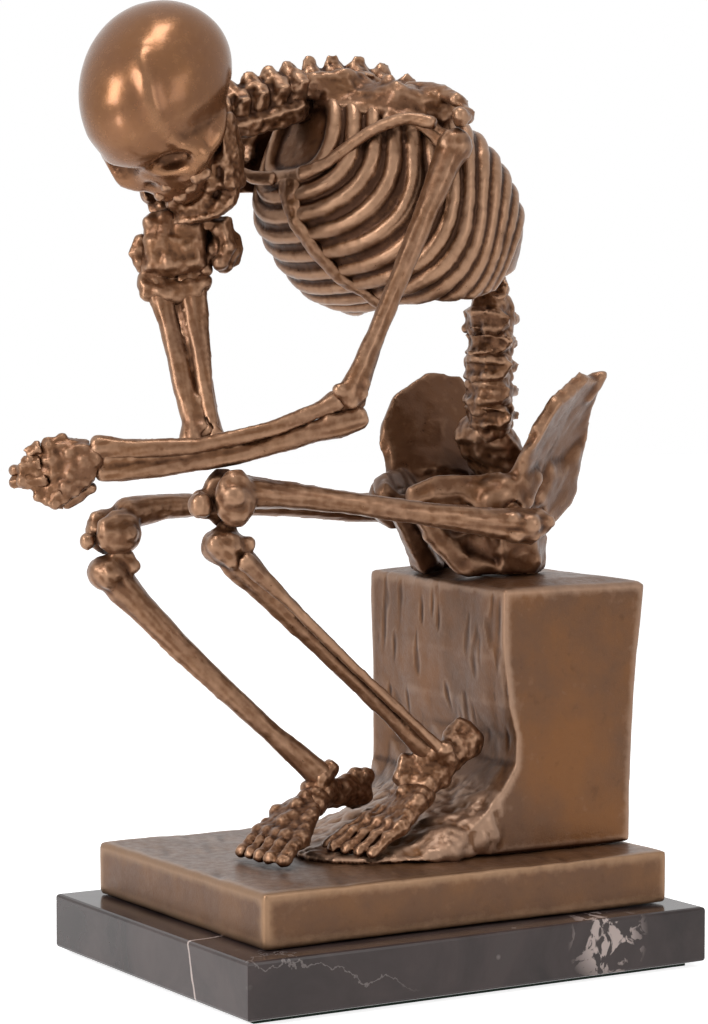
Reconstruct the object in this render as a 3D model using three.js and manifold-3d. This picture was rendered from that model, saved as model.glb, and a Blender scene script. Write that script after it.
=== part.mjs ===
import * as THREE from 'three';
import { mergeVertices } from 'three/addons/utils/BufferGeometryUtils.js';
import Module from 'manifold-3d';

const wasm = await Module();
wasm.setup();

// Driving sizes in millimetres. The figure faces -Y, its left side is +X, and +Z is up.
const joint_gap = 0.3;
const finest_step = 0.09;

const felt_thick = 1.2;
const felt_margin = 4;

const marble_length = 150;
const marble_width = 115;
const marble_thick = 15.8;
const marble_edge = 0.9;

const plinth_length = 133;
const plinth_width = 98;
const plinth_thick = 15.1;
const plinth_edge = 0.8;
const plinth_shift_x = -1.2;
const plinth_shift_y = 2;

const stud_diameter = 6;
const stud_in_plinth = 9;
const stud_spacing = 76;
const stud_clearance = 0.4;
const washer_diameter = 13;
const washer_thick = 1.2;
const nut_across_flats = 10;
const nut_thick = 4.5;
const pocket_diameter = 16.5;
const pocket_depth = 8.4;

const seat_width = 81;
const seat_depth = 43;
const seat_height = 76;
const seat_back_flare = 5;
const seat_corner = 1.2;
const seat_crown = 2;
const seat_front_skew = 5.6;
const scoop_depth = 5;
const scoop_height = 27;
const mound_height = 27;
const mound_reach = 56;

// Places on the skeleton, from the middle of the seat's front edge. Those of the body are
// measured up from the top of the seat, and those of the feet up from the plinth.
const place = (x, y, z) => new THREE.Vector3(x, y, z);
const body = (x, y, above_seat) => place(x, y, seat_height + above_seat);
const ground = (x, y, above_plinth) => place(x, y, above_plinth);

const pelvis_middle = body(2.7, 3, 22.8);
const pelvis_turn = 12;
const hip_half_width = 21;

const legs = {
  left: {
    trochanter: body(37.7, 8.5, 17), knee: body(26.7, -83.5, 20), patella: body(26.7, -92.2, 25.6),
    ankle: ground(26.7, -17, 28), heel: ground(26.7, -5, 32), arch: ground(27.5, -23, 17),
    ball: ground(26, -34, 9), tips: ground(25, -46, 2.6),
    patella_radius: 3.7, condyle: [6.2, 8.6], shaft_rise: 2.2, shin_bow: 0.4,
  },
  right: {
    trochanter: body(-31.3, 4, 19.8), knee: body(-20.3, -95, 10), patella: body(-20.3, -103, 13.5),
    ankle: ground(1.7, -39.3, 20.4), heel: ground(-1.5, -24.5, 15.6), arch: ground(7.5, -50, 11.5),
    ball: ground(14.5, -61, 6.2), tips: ground(19.5, -70.5, 2.1),
    patella_radius: 2.6, condyle: [7.2, 7], shaft_rise: 6, shin_bow: 2,
  },
};

const arms = {
  left: {
    shoulder: body(39.7, -19.5, 123.6), elbow: body(42.7, -55.5, 52.2), wrist: body(10.7, -115, 38.2),
    forearm_sag: 5, wrist_size: 1, humerus_size: 1, scapula_slide: 0, scapula_lift: 0,
  },
  right: {
    shoulder: body(-27.5, -65.5, 112.3), elbow: body(17, -85, 41.8), wrist: body(-2.3, -84.5, 87.8),
    forearm_sag: 0, wrist_size: 1.4, humerus_size: 0.9, scapula_slide: 0.17, scapula_lift: 6,
    scapula_wing: [body(-18, -34, 134), body(-21, -56, 131), body(-20, -36, 113), body(-23, -57, 113)],
  },
};

const head_middle = body(5.6, -94.5, 139);
const head_turn = 35;
const head_bow = 47;
const head_tilt = 9;
const cranium_half_width = 20;
const cranium_half_length = 26;
const cranium_above = 20.5;
const cranium_below = 15;

const thorax_turn = 18;
const thorax_roll = 6;
const rib_count = 13;
const rib_pitch = 0.122;
const rib_groove = 1.7;
const rib_droop = 4;
// How far down its own line a rib has come, at equal steps from the spine to the breastbone
const rib_fall = [0.5, 0.5, 0.5, 0.53, 0.62, 0.75, 0.88, 0.97, 1];
const cage_hollow = 9;
const thorax = [
  { back: body(0.7, -41, 139.5), front: body(4.7, -51.5, 115.5), half: 12 },
  { back: body(1.2, -30, 141), front: body(5.2, -51.5, 109.8), half: 21 },
  { back: body(1.7, -17, 138.5), front: body(6.2, -50, 102.5), half: 28 },
  { back: body(2.2, -3, 130), front: body(7.7, -45, 95.5), half: 32 },
  { back: body(2.7, 7, 117), front: body(9.2, -39, 89), half: 33 },
  { back: body(3.2, 12.5, 102), front: body(10.7, -33, 84.5), half: 31 },
  { back: body(3.7, 12.5, 89.5), front: body(12.7, -24, 82), half: 25 },
];
const spine = [
  body(3.7, 16.2, 80), body(3.5, 17.5, 92), body(3, 16.5, 104.5), body(2.6, 10.5, 119),
  body(2.2, -1, 132.5), body(1.7, -14, 141), body(1.2, -30, 144.5), body(0.6, -45, 143),
];
const lumbar_foot = body(3.7, 16.6, 44.5);
const lumbar_head = body(3.7, 16.2, 80);

// Small tools for shapes

function toSolid(points, triangles) {
  const flat = new Float32Array(points.length * 3);
  points.forEach((p, i) => flat.set([p.x, p.y, p.z], i * 3));
  let volume = 0;
  for (const [a, b, c] of triangles) {
    volume += points[a].dot(place(0, 0, 0).crossVectors(points[b], points[c]));
  }
  const order = volume < 0 ? triangles.map(([a, b, c]) => [a, c, b]) : triangles;
  const mesh = new wasm.Mesh({
    numProp: 3,
    vertProperties: flat,
    triVerts: new Uint32Array(order.flat()),
  });
  return new wasm.Manifold(mesh);
}

function geometryToSolid(geometry) {
  geometry.deleteAttribute('normal');
  geometry.deleteAttribute('uv');
  const merged = mergeVertices(geometry, 1e-4);
  const corner = merged.attributes.position;
  const points = [];
  for (let i = 0; i < corner.count; i += 1) points.push(new THREE.Vector3().fromBufferAttribute(corner, i));
  const index = merged.index.array;
  const triangles = [];
  for (let i = 0; i < index.length; i += 3) triangles.push([index[i], index[i + 1], index[i + 2]]);
  return toSolid(points, triangles);
}

// A skin through rings of points, closed at both ends by a pole.
function skin(rings, first, last) {
  const sides = rings[0].length;
  const points = [first, ...rings.flat(), last];
  const triangles = [];
  for (let j = 0; j < sides; j += 1) {
    const k = (j + 1) % sides;
    triangles.push([0, 1 + k, 1 + j]);
    for (let i = 0; i + 1 < rings.length; i += 1) {
      const here = 1 + i * sides;
      const next = here + sides;
      triangles.push([here + j, here + k, next + j], [here + k, next + k, next + j]);
    }
    const end = 1 + (rings.length - 1) * sides;
    triangles.push([end + j, end + k, points.length - 1]);
  }
  return toSolid(points, triangles);
}

// The value at t, from 0 to 1, of a smooth curve through a list of numbers.
function along(list, t) {
  const s = t * (list.length - 1);
  const k = Math.min(Math.floor(s), list.length - 2);
  const f = s - k;
  const a = list[Math.max(k - 1, 0)];
  const b = list[k];
  const c = list[k + 1];
  const d = list[Math.min(k + 2, list.length - 1)];
  return b + 0.5 * f * (c - a + f * (2 * a - 5 * b + 4 * c - d + f * (3 * (b - c) + d - a)));
}

function ringAround(centre, tangent, across, wide, deep, sides) {
  const u = across.clone().addScaledVector(tangent, -across.dot(tangent)).normalize();
  const v = new THREE.Vector3().crossVectors(tangent, u);
  const ring = [];
  for (let j = 0; j < sides; j += 1) {
    const angle = (j / sides) * 2 * Math.PI;
    const spot = centre.clone().addScaledVector(u, wide * Math.cos(angle));
    ring.push(spot.addScaledVector(v, deep * Math.sin(angle)));
  }
  return ring;
}

// A bone through stations of [place, half width, half depth], with rounded ends. The half
// width is measured in the direction named across.
function limb(stations, across, { sides = 8, steps = 2, grow = 0 } = {}) {
  const path = new THREE.CatmullRomCurve3(stations.map((s) => s[0]), false, 'centripetal');
  const wides = stations.map((s) => s[1] + grow);
  const deeps = stations.map((s) => (s[2] ?? s[1]) + grow);
  const count = (stations.length - 1) * steps;
  const rings = [];
  for (let i = 0; i <= count; i += 1) {
    const t = i / count;
    const [wide, deep] = [along(wides, t), along(deeps, t)];
    rings.push(ringAround(path.getPoint(t), path.getTangent(t), across, wide, deep, sides));
  }
  const cap = (t, way) => {
    const wide = along(wides, t);
    const deep = along(deeps, t);
    const out = path.getTangent(t).multiplyScalar(way);
    const reach = Math.min(wide, deep);
    const shoulder = path.getPoint(t).addScaledVector(out, reach * 0.42);
    return {
      ring: ringAround(shoulder, path.getTangent(t), across, wide * 0.74, deep * 0.74, sides),
      pole: path.getPoint(t).addScaledVector(out, reach * 0.68),
    };
  };
  const start = cap(0, -1);
  const end = cap(1, 1);
  return skin([start.ring, ...rings, end.ring], start.pole, end.pole);
}

// An ellipsoid with its half sizes along three given axes.
function ball(centre, halves, { axes = worldAxes, sides = 8, rows = 6, grow = 0 } = {}) {
  const geometry = new THREE.SphereGeometry(1, sides, rows);
  const [a, b, c] = halves.map((h) => h + grow);
  const frame = new THREE.Matrix4().makeBasis(
    axes[0].clone().multiplyScalar(a), axes[1].clone().multiplyScalar(b), axes[2].clone().multiplyScalar(c));
  frame.setPosition(centre);
  geometry.applyMatrix4(frame);
  return geometryToSolid(geometry);
}
const worldAxes = [place(1, 0, 0), place(0, 1, 0), place(0, 0, 1)];

// A bent plate with a rounded rim, from a grid of points on its middle surface.
function plate(grid, thick, grow = 0) {
  const rows = grid.length;
  const columns = grid[0].length;
  const front = [];
  const back = [];
  for (let i = 0; i < rows; i += 1) {
    for (let j = 0; j < columns; j += 1) {
      const up = grid[Math.min(i + 1, rows - 1)][j].clone().sub(grid[Math.max(i - 1, 0)][j]);
      const side = grid[i][Math.min(j + 1, columns - 1)].clone().sub(grid[i][Math.max(j - 1, 0)]);
      const normal = up.cross(side).normalize();
      const half = thick(i / (rows - 1), j / (columns - 1)) / 2 + grow;
      front.push(grid[i][j].clone().addScaledVector(normal, half));
      back.push(grid[i][j].clone().addScaledVector(normal, -half));
    }
  }
  const points = [...front, ...back];
  const offset = front.length;
  const triangles = [];
  const quad = (a, b, c, d) => triangles.push([a, b, c], [a, c, d]);
  for (let i = 0; i + 1 < rows; i += 1) {
    for (let j = 0; j + 1 < columns; j += 1) {
      const a = i * columns + j;
      quad(a, a + 1, a + columns + 1, a + columns);
      quad(offset + a, offset + a + columns, offset + a + columns + 1, offset + a + 1);
    }
  }
  for (let j = 0; j + 1 < columns; j += 1) {
    const last = (rows - 1) * columns + j;
    quad(offset + j, offset + j + 1, j + 1, j);
    quad(last, last + 1, offset + last + 1, offset + last);
  }
  for (let i = 0; i + 1 < rows; i += 1) {
    const a = i * columns;
    const b = a + columns - 1;
    quad(a, a + columns, offset + a + columns, offset + a);
    quad(offset + b, offset + b + columns, b + columns, b);
  }
  return toSolid(points, triangles);
}

const join = (list) => list.reduce((whole, next) => whole.add(next));

// What is left of a bone once its neighbours' room is taken out of it: its largest part.
function trim(bone, rooms) {
  const cut = rooms.reduce((left, room) => left.subtract(room), bone);
  const parts = cut.simplify(finest_step).decompose();
  return parts.reduce((best, part) => (part.volume() > best.volume() ? part : best));
}

const mix = (a, b, t) => a.clone().lerp(b, t);
const shifted = (p, x, y, z) => p.clone().add(place(x, y, z));

// Frames of the leaning parts of the body

function turned(turn, bow, tilt) {
  const rad = THREE.MathUtils.degToRad;
  const about_z = new THREE.Matrix4().makeRotationZ(rad(turn));
  const about_x = new THREE.Matrix4().makeRotationX(rad(bow));
  const about_y = new THREE.Matrix4().makeRotationY(-rad(tilt));
  return about_z.multiply(about_x).multiply(about_y);
}

function localPlace(middle, rotation) {
  return (left, back, up) => place(left, back, up).applyMatrix4(rotation).add(middle);
}

const head_frame = turned(head_turn, head_bow, head_tilt);
const head = localPlace(head_middle, head_frame);
const head_axes = worldAxes.map((axis) => axis.clone().applyMatrix4(head_frame));

const pelvis_frame = turned(pelvis_turn, 0, 0);
const pelvis = localPlace(pelvis_middle, pelvis_frame);
const pelvis_left = place(1, 0, 0).applyMatrix4(pelvis_frame);

const thorax_left = place(1, 0, 0).applyMatrix4(turned(thorax_turn, 0, thorax_roll));

const sign = { left: 1, right: -1 };
const sides_of_body = ['left', 'right'];

// The base: felt, marble slab, bronze plinth, studs, washers and nuts

const marble_foot = felt_thick + joint_gap;
const marble_top = marble_foot + marble_thick;
const plinth_foot = marble_top + joint_gap;
const plinth_top = plinth_foot + plinth_thick;
const pocket_top = marble_foot + pocket_depth;

function slab(width, length, thick, edge) {
  const x = width / 2 - edge;
  const y = length / 2 - edge;
  const outline = new THREE.Shape([
    new THREE.Vector2(-x, -y), new THREE.Vector2(x, -y), new THREE.Vector2(x, y), new THREE.Vector2(-x, y),
  ]);
  const geometry = new THREE.ExtrudeGeometry(outline, {
    depth: thick - 2 * edge, bevelEnabled: edge > 0, bevelThickness: edge, bevelSize: edge, bevelSegments: 2,
  });
  geometry.translate(0, 0, edge);
  return geometryToSolid(geometry);
}

function rod(diameter, length, x, y, z, sides = 16) {
  const geometry = new THREE.CylinderGeometry(diameter / 2, diameter / 2, length, sides);
  geometry.rotateX(Math.PI / 2);
  geometry.translate(x, y, z + length / 2);
  return geometryToSolid(geometry);
}

const stud_places = [-1, 1].map((way) => [plinth_shift_x, plinth_shift_y + (way * stud_spacing) / 2]);
const washer_foot = pocket_top - joint_gap - washer_thick;
const nut_foot = washer_foot - joint_gap - nut_thick;
const stud_foot = nut_foot - 0.8;
const stud_top = plinth_foot + stud_in_plinth;
const stud_hole = stud_diameter + 2 * stud_clearance;

function marbleBase() {
  const block = slab(marble_width, marble_length, marble_thick, marble_edge).translate([0, 0, marble_foot]);
  const holes = stud_places.flatMap(([x, y]) => [
    rod(stud_hole, marble_thick + 2, x, y, marble_foot - 1),
    rod(pocket_diameter, pocket_depth + 1, x, y, marble_foot - 1),
  ]);
  return trim(block, holes);
}

function bronzePlinth() {
  const block = slab(plinth_width, plinth_length, plinth_thick, plinth_edge)
    .translate([plinth_shift_x, plinth_shift_y, plinth_foot]);
  const hole_depth = stud_in_plinth + joint_gap + 1;
  const holes = stud_places.map(([x, y]) => rod(stud_hole, hole_depth, x, y, plinth_foot - 1));
  return trim(block, holes);
}

function washer(x, y) {
  return rod(washer_diameter, washer_thick, x, y, washer_foot)
    .subtract(rod(stud_hole, washer_thick + 2, x, y, washer_foot - 1));
}

function nut(x, y) {
  const across_corners = nut_across_flats / Math.cos(Math.PI / 6);
  return rod(across_corners, nut_thick, x, y, nut_foot, 6)
    .subtract(rod(stud_hole, nut_thick + 2, x, y, nut_foot - 1));
}

// The seat: a block whose front is scooped out and runs down into the mound under the feet

const seat_middle_x = plinth_shift_x - plinth_width / 2 + seat_width / 2;
const seat_front_y = plinth_shift_y + plinth_length / 2 - seat_depth;

function seatBlock(grow = 0) {
  const half = seat_width / 2;
  const heights = [0, 1.5, 4, 8, 13, 18, 25, 33, 42, 56, seat_height - 1, seat_height];
  const across = [-1, -0.75, -0.5, -0.2, 0.1, 0.4, 0.65, 0.85, 1];
  const frontAt = (x, z) => {
    const right = Math.max(0, -x);
    const skew = seat_front_skew * (0.15 - 0.5 * x);
    const scoop = scoop_depth * (1 - right) * Math.exp(-(((z - scoop_height) / 14) ** 2));
    const low = Math.max(0, 1 - z / (mound_height * (1 - 0.45 * right)));
    const fade = 1 - 0.55 * Math.max(0, x) ** 5 - 0.8 * right ** 1.6;
    return skew + scoop - mound_reach * fade * (0.35 * low + 0.65 * low ** 3);
  };
  const ringAt = (z, level, inset) => {
    const reach = half + grow - inset;
    const back = seat_depth + seat_back_flare * (z / seat_height) ** 2 + grow - inset;
    const corner = 1.2;
    return [
      ...across.map((x) => place(x * reach, frontAt(x, z) - grow + inset, level)),
      place(reach, back - corner, level), place(reach - corner, back, level),
      place(0, back, level),
      place(-reach + corner, back, level), place(-reach, back - corner, level),
    ];
  };
  const rings = heights.map((z) => ringAt(z, z + (z === 0 ? 0 : grow), z === seat_height ? seat_corner : 0));
  rings.push(ringAt(seat_height, seat_height + grow + seat_crown * 0.75, 9));
  return skin(rings, place(0, seat_depth / 2, 0), place(0, seat_depth / 2, seat_height + grow + seat_crown));
}

// The legs

function femurShape(side, grow = 0) {
  const way = sign[side];
  const { trochanter, knee, condyle, shaft_rise } = legs[side];
  const hip = pelvis(way * hip_half_width, 0, 0);
  const [deep, high] = condyle;
  const middle = shifted(knee, 0, 0, high * 0.95 - 0.7);
  const rise = (t) => shaft_rise * Math.sin(Math.PI * t ** 1.6 * 0.75);
  const onShaft = (t) => shifted(mix(trochanter, middle, t), 0, 0, rise(t));
  return join([
    limb([
      [shifted(trochanter, 0, 4.5, 2), 3, 4], [trochanter, 4.6, 5.4], [onShaft(0.13), 4, 4.5],
      [onShaft(0.35), 3.3, 3.5], [onShaft(0.62), 3.2, 3.3], [onShaft(0.82), 3.9, 3.9], [onShaft(0.96), 5.6, 5],
    ], place(1, 0, 0), { grow, steps: 1 }),
    limb([
      [hip, 3.4], [mix(hip, trochanter, 0.55), 3.2, 3.8], [trochanter, 3.8, 4.4],
    ], place(0, 1, 0), { grow, steps: 1 }),
    ball(hip, [5.2, 5.2, 5.2], { grow, rows: 5 }),
    ball(shifted(middle, -3.6, 0, 0), [4.4, deep, high], { grow, rows: 5 }),
    ball(shifted(middle, 3.6, 0, 0), [4.4, deep, high], { grow, rows: 5 }),
  ]);
}

function patellaShape(side, grow = 0) {
  const { patella, patella_radius: r } = legs[side];
  return ball(patella, [r, r * 0.95, r * 1.1], { grow });
}

function tibiaShape(side, grow = 0) {
  const { knee, ankle, shin_bow } = legs[side];
  const top = shifted(knee, 0, -1.5, -6.2);
  const bow = (t) => place(-0.52, -0.85, 0).multiplyScalar(shin_bow * Math.sin(Math.PI * t));
  const onShin = (t) => mix(top, ankle, t).add(bow(t));
  return join([
    limb([
      [shifted(top, 0, 0.8, 1), 6, 5], [onShin(0.07), 5, 5.2], [onShin(0.16), 4.2, 4.4], [onShin(0.45), 3.1, 3.5],
      [onShin(0.8), 2.8, 3.1], [onShin(0.93), 3.8, 3.8], [ankle, 4.4, 4.2],
    ], place(1, 0, 0), { grow, steps: 1 }),
    ball(shifted(top, 0, -0.6, 0.4), [7.2, 5.8, 5.6], { grow }),
  ]);
}

function fibulaShape(side, grow = 0) {
  const way = sign[side];
  const { knee, ankle } = legs[side];
  const top = shifted(knee, 5.2 * way, 2, -9.5);
  const foot = shifted(ankle, 4.8 * way, 1.8, 0);
  return limb([
    [top, 3.1], [mix(top, foot, 0.09), 2.6], [mix(top, foot, 0.2), 1.7],
    [shifted(mix(top, foot, 0.5), 0, -0.3, 0), 1.6], [mix(top, foot, 0.86), 1.7], [foot, 2.7, 2.4],
  ], place(1, 0, 0), { grow, steps: 1, sides: 6 });
}

function footAxes(side) {
  const { heel, tips } = legs[side];
  const forward = tips.clone().sub(heel).setZ(0).normalize();
  const outward = new THREE.Vector3().crossVectors(place(0, 0, 1), forward).multiplyScalar(sign[side]);
  return { forward, outward };
}

function hindfootShape(side, grow = 0) {
  const { ankle, heel, arch } = legs[side];
  const { outward } = footAxes(side);
  const under = shifted(ankle, 0, 0, -5.4);
  return join([
    limb([
      [shifted(heel, 0, 1, 0), 4, 5.6], [shifted(heel, 0, -2, -1), 3.8, 5.4], [mix(heel, under, 0.55), 3.4, 4.2],
      [under, 4.2, 4], [mix(under, arch, 0.6), 5, 3.6],
    ], outward, { grow, steps: 1 }),
    ball(shifted(ankle, 0, 0, -3.4), [4.6, 4.6, 4.2], { grow }),
  ]);
}

// The instep and the five rays of metatarsals and toes, with knuckles at every joint.
function forefootShape(side, grow = 0) {
  const { arch, ball: ball_of_foot, tips } = legs[side];
  const { forward, outward } = footAxes(side);
  const instep = mix(arch, ball_of_foot, 0.12);
  const pieces = [limb([
    [mix(arch, instep, -1.2), 5.8, 4.6], [instep, 7.2, 4.6], [mix(arch, ball_of_foot, 0.42), 8, 3.6],
    [ball_of_foot, 8.4, 2],
  ], outward, { grow, steps: 1, sides: 8 })];
  for (let ray = 0; ray < 5; ray += 1) {
    const off = (ray - 2) * 1;
    const big = ray === 0 ? 1.25 : 1;
    const start = mix(arch, ball_of_foot, 0.2).addScaledVector(outward, off * 2.7);
    const beside = (p, out, on) => p.clone().addScaledVector(outward, out).addScaledVector(forward, on);
    const knuckle = beside(ball_of_foot, off * 4, 1.5 - 1.1 * Math.abs(ray - 1));
    const tip = beside(tips, off * 4.5, 2 - 1.8 * Math.abs(ray - 0.7));
    pieces.push(limb([
      [start, 2], [knuckle, 2.4 * big], [mix(knuckle, tip, 0.4).add(place(0, 0, 0.8)), 1.8 * big],
      [tip, 2.1 * big, 1.7 * big],
    ], outward, { grow, steps: 1, sides: 5 }));
  }
  return join(pieces);
}

// The pelvis: two hip bones and the sacrum

function hipBoneShape(side, grow = 0) {
  const way = sign[side];
  const at = (out, back, up) => pelvis(way * out, back, up);
  const low_edge = new THREE.CatmullRomCurve3(
    [at(25, -1, 2), at(25, 4, 6), at(21, 10, 7), at(17, 18, 6), at(15, 27, 4), at(14, 34, 0)]);
  const high_edge = new THREE.CatmullRomCurve3(
    [at(29, 2.5, 16), at(33, 5, 23.5), at(33.5, 14, 33), at(31, 32, 38.5), at(23.5, 35.5, 27), at(17, 38, 10)]);
  const grid = [];
  for (let i = 0; i <= 3; i += 1) {
    const up = i / 3;
    const row = [];
    for (let j = 0; j <= 6; j += 1) {
      const t = j / 6;
      const p = mix(low_edge.getPoint(t), high_edge.getPoint(t), up);
      const bowl = 4.5 * Math.sin(Math.PI * up) * Math.sin(Math.PI * Math.min(1, t + 0.12));
      row.push(p.add(at(-bowl * 0.6, bowl * 0.3, -bowl * 0.6).sub(at(0, 0, 0))));
    }
    grid.push(row);
  }
  const across = pelvis_left;
  const bar = { grow, steps: 1, sides: 5 };
  return join([
    plate(grid, (up) => 2.6 + 1.4 * up ** 4 + 5.4 * (1 - up) ** 2, grow),
    ball(at(22, 0, 0), [7.6, 9, 9.6], { grow, sides: 7, rows: 5 }),
    limb([[at(23, 2, 3), 5.4], [at(17, 14, 1), 5, 6], [at(14, 27, 0), 4, 5.4]], across, bar),
    limb([[at(20, 7.5, -5), 6.4, 9], [at(18.5, 12, -13), 6.4, 10.6], [at(17, 12.5, -19), 6.8, 10.6]], across, bar),
    limb([
      [at(22, 0, 3.6), 6, 6.2], [at(15.5, -7, 4), 4.6, 5.4], [at(11, -15, 4), 3.8, 5.2], [at(5.5, -19.4, 2), 3.4, 4.4],
    ], across, bar),
    limb([
      [at(4.4, -16.5, 0), 3.6, 4.4], [at(5.4, -9, -9), 4, 4.6], [at(8, -1.5, -17), 4.6, 5], [at(14, 6, -19), 5.4],
    ], across, bar),
  ]);
}

function sacrumShape(grow = 0) {
  return limb([
    [pelvis(0, 13, 20.5), 10.5, 7], [pelvis(0, 18, 16), 12.5, 7], [pelvis(0, 25, 7), 11.5, 6],
    [pelvis(0, 30, -2), 8, 4.4], [pelvis(0, 29, -11), 4.6, 3], [pelvis(0, 25, -17), 2.2, 1.8],
  ], pelvis_left, { grow, steps: 1, sides: 9 });
}

// The spine: five lumbar vertebrae, then the thoracic and cervical columns

const lumbar_count = 5;
const lumbar_pitch = (lumbar_head.z - lumbar_foot.z) / lumbar_count;
const spine_left = place(1, 0, 0);

// A ring with its back point and its two side points drawn out, for the processes of a vertebra.
function spinyRing(centre, tangent, wide, deep, behind, beside) {
  const ring = ringAround(centre, tangent, spine_left, wide, deep, 8);
  const [left, , back, , right] = ring;
  const outward = left.clone().sub(centre).normalize();
  const backward = back.clone().sub(centre).normalize();
  back.addScaledVector(backward, behind);
  left.addScaledVector(outward, beside).addScaledVector(backward, beside * 0.5);
  right.addScaledVector(outward, -beside).addScaledVector(backward, beside * 0.5);
  return ring;
}

function lumbarShape(number, grow = 0) {
  const low = mix(lumbar_foot, lumbar_head, (number - 1) / lumbar_count);
  const rise = lumbar_pitch - joint_gap;
  const level = (share) => shifted(low, 0, 0, share * rise + (share - 0.5) * 2 * grow);
  const profile = [
    [0, 0.9, 0, 0], [0.14, 1, 0.8, 0], [0.36, 0.84, 5.6, 3], [0.68, 0.84, 6, 3.4], [0.88, 1, 0.8, 0], [1, 0.9, 0, 0],
  ];
  const rings = profile.map(([share, scale, behind, beside]) => {
    const [wide, deep] = [8.6 * scale + grow, 6.6 * scale + grow];
    return spinyRing(level(share), place(0, 0, 1), wide, deep, behind, beside);
  });
  return skin(rings, level(0), level(1));
}

// A column of vertebrae in one piece: between two necks each has a tip behind and one on each side.
// The vertebrae get shorter towards the upper end by the given taper.
function columnShape(points, count, { core, tip, bar, taper }, grow = 0) {
  const path = new THREE.CatmullRomCurve3(points);
  const share = (n) => (n / count) * (1 + taper - taper * (n / count));
  const ringAt = (n, size, behind, beside) => {
    const tangent = path.getTangentAt(share(n));
    const overrun = n === 0 ? -grow : Number(n === count) * grow;
    const centre = path.getPointAt(share(n)).addScaledVector(tangent, overrun);
    return spinyRing(centre, tangent, core * size + grow, core * size + grow, behind, beside);
  };
  const rings = [];
  for (let n = 0; n < count; n += 1) {
    rings.push(ringAt(n, 0.86, 0.4, 0), ringAt(n + 0.3, 1.04, tip, bar), ringAt(n + 0.62, 1.04, tip, bar));
  }
  rings.push(ringAt(count, 0.86, 0.4, 0));
  const pole = (t, overrun) => path.getPointAt(t).addScaledVector(path.getTangentAt(t), overrun);
  return skin(rings, pole(0, -grow), pole(1, grow));
}

// The plain tube of room that a column takes in the ribcage
function columnRoom(points, count, { core, bar }) {
  const path = new THREE.CatmullRomCurve3(points);
  const stations = [];
  for (let n = 0; n <= count; n += 1) {
    stations.push([path.getPointAt(n / count), core + bar + joint_gap, core * 1.04 + joint_gap]);
  }
  return limb(stations, spine_left, { steps: 1, sides: 8 });
}

const thoracic_count = 12;
const cervical_count = 6;
const thoracic = { core: 4.3, tip: 3.2, bar: 3.4, taper: 0.25 };
const cervical = { core: 5.3, tip: 2.2, bar: 2.2, taper: 0 };
const skull_base = head(0, 3, -16);
const neck_foot = spine[spine.length - 1];
const neck = [neck_foot, mix(neck_foot, skull_base, 0.5).add(place(0, 0, 0.8)), skull_base];
const thoracicShape = (grow = 0) => columnShape(spine, thoracic_count, thoracic, grow);
const neck_front = neck.map((p, i) => [shifted(p, 0, -1.4, i === 2 ? -3 : -6.5), 5, 4.6]);
const cervicalShape = (grow = 0) => join([
  columnShape(neck, cervical_count, cervical, grow),
  limb(neck_front, spine_left, { grow, steps: 1, sides: 6 }),
]);

// The ribcage: rows that run round the body, two to each rib and one to each groove

function thoraxRow(t) {
  const read = (end, axis) => along(thorax.map((row) => row[end][axis]), t);
  const back = place(read('back', 'x'), read('back', 'y'), read('back', 'z'));
  const front = place(read('front', 'x'), read('front', 'y'), read('front', 'z'));
  return { back, front, half: along(thorax.map((row) => row.half), t) };
}

// A place on the wall of the cage: t runs down it, and angle runs round it from the spine.
// Past t = 1 the wall turns in under the cage, up to the middle of its hollow.
function cageWall(t, angle, inset) {
  const { back, front, half } = thoraxRow(Math.min(t, 1));
  const middle = mix(back, front, 0.5);
  const reach = back.clone().sub(middle);
  const depth = reach.length();
  const way = reach.clone().normalize();
  const up = new THREE.Vector3().crossVectors(thorax_left, way).normalize();
  const c = Math.cos(angle);
  const s = Math.sin(angle);
  const boxy = 1 + 0.09 * Math.sin(2 * angle) ** 2;
  const droop = rib_droop * Math.min(1, 0.3 + t * 1.6);
  const spot = middle.clone()
    .addScaledVector(way, (depth - inset) * c * boxy)
    .addScaledVector(thorax_left, (half - inset) * s * boxy)
    .addScaledVector(up, -droop * s * s * (0.35 - 0.65 * c));
  const under = Math.max(0, t - 1) / 0.75;
  return spot.lerp(middle.addScaledVector(up, cage_hollow), Math.min(under, 0.92));
}

function ribcageShape(grow = 0) {
  const columns = 16;
  const ringAt = (line, inset) => {
    const ring = [];
    for (let j = 0; j < columns; j += 1) {
      const angle = (j / columns) * 2 * Math.PI;
      const round = 1 - Math.abs(1 - (2 * j) / columns);
      const near_spine = Math.exp(-((round / 0.11) ** 2));
      const t = line * along(rib_fall, round);
      const in_by = t > 1 ? 0 : inset * (1 - near_spine);
      ring.push(cageWall(t, angle, in_by - grow));
    }
    return ring;
  };
  const rings = [ringAt(0, 8).map((p) => p.add(place(0, -2, 2))), ringAt(0, 2)];
  for (let rib = 0; rib < rib_count; rib += 1) {
    rings.push(ringAt((rib + 0.4) * rib_pitch, 0), ringAt((rib + 0.95) * rib_pitch, rib_groove));
  }
  rings.push(ringAt(1.75, 0));
  const top = thoraxRow(0);
  const foot = thoraxRow(1);
  const topPole = mix(top.back, top.front, 0.5).add(place(0, -2.6, 2.6));
  return skin(rings, topPole, mix(foot.back, foot.front, 0.35).add(place(0, 0, cage_hollow)));
}

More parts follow.
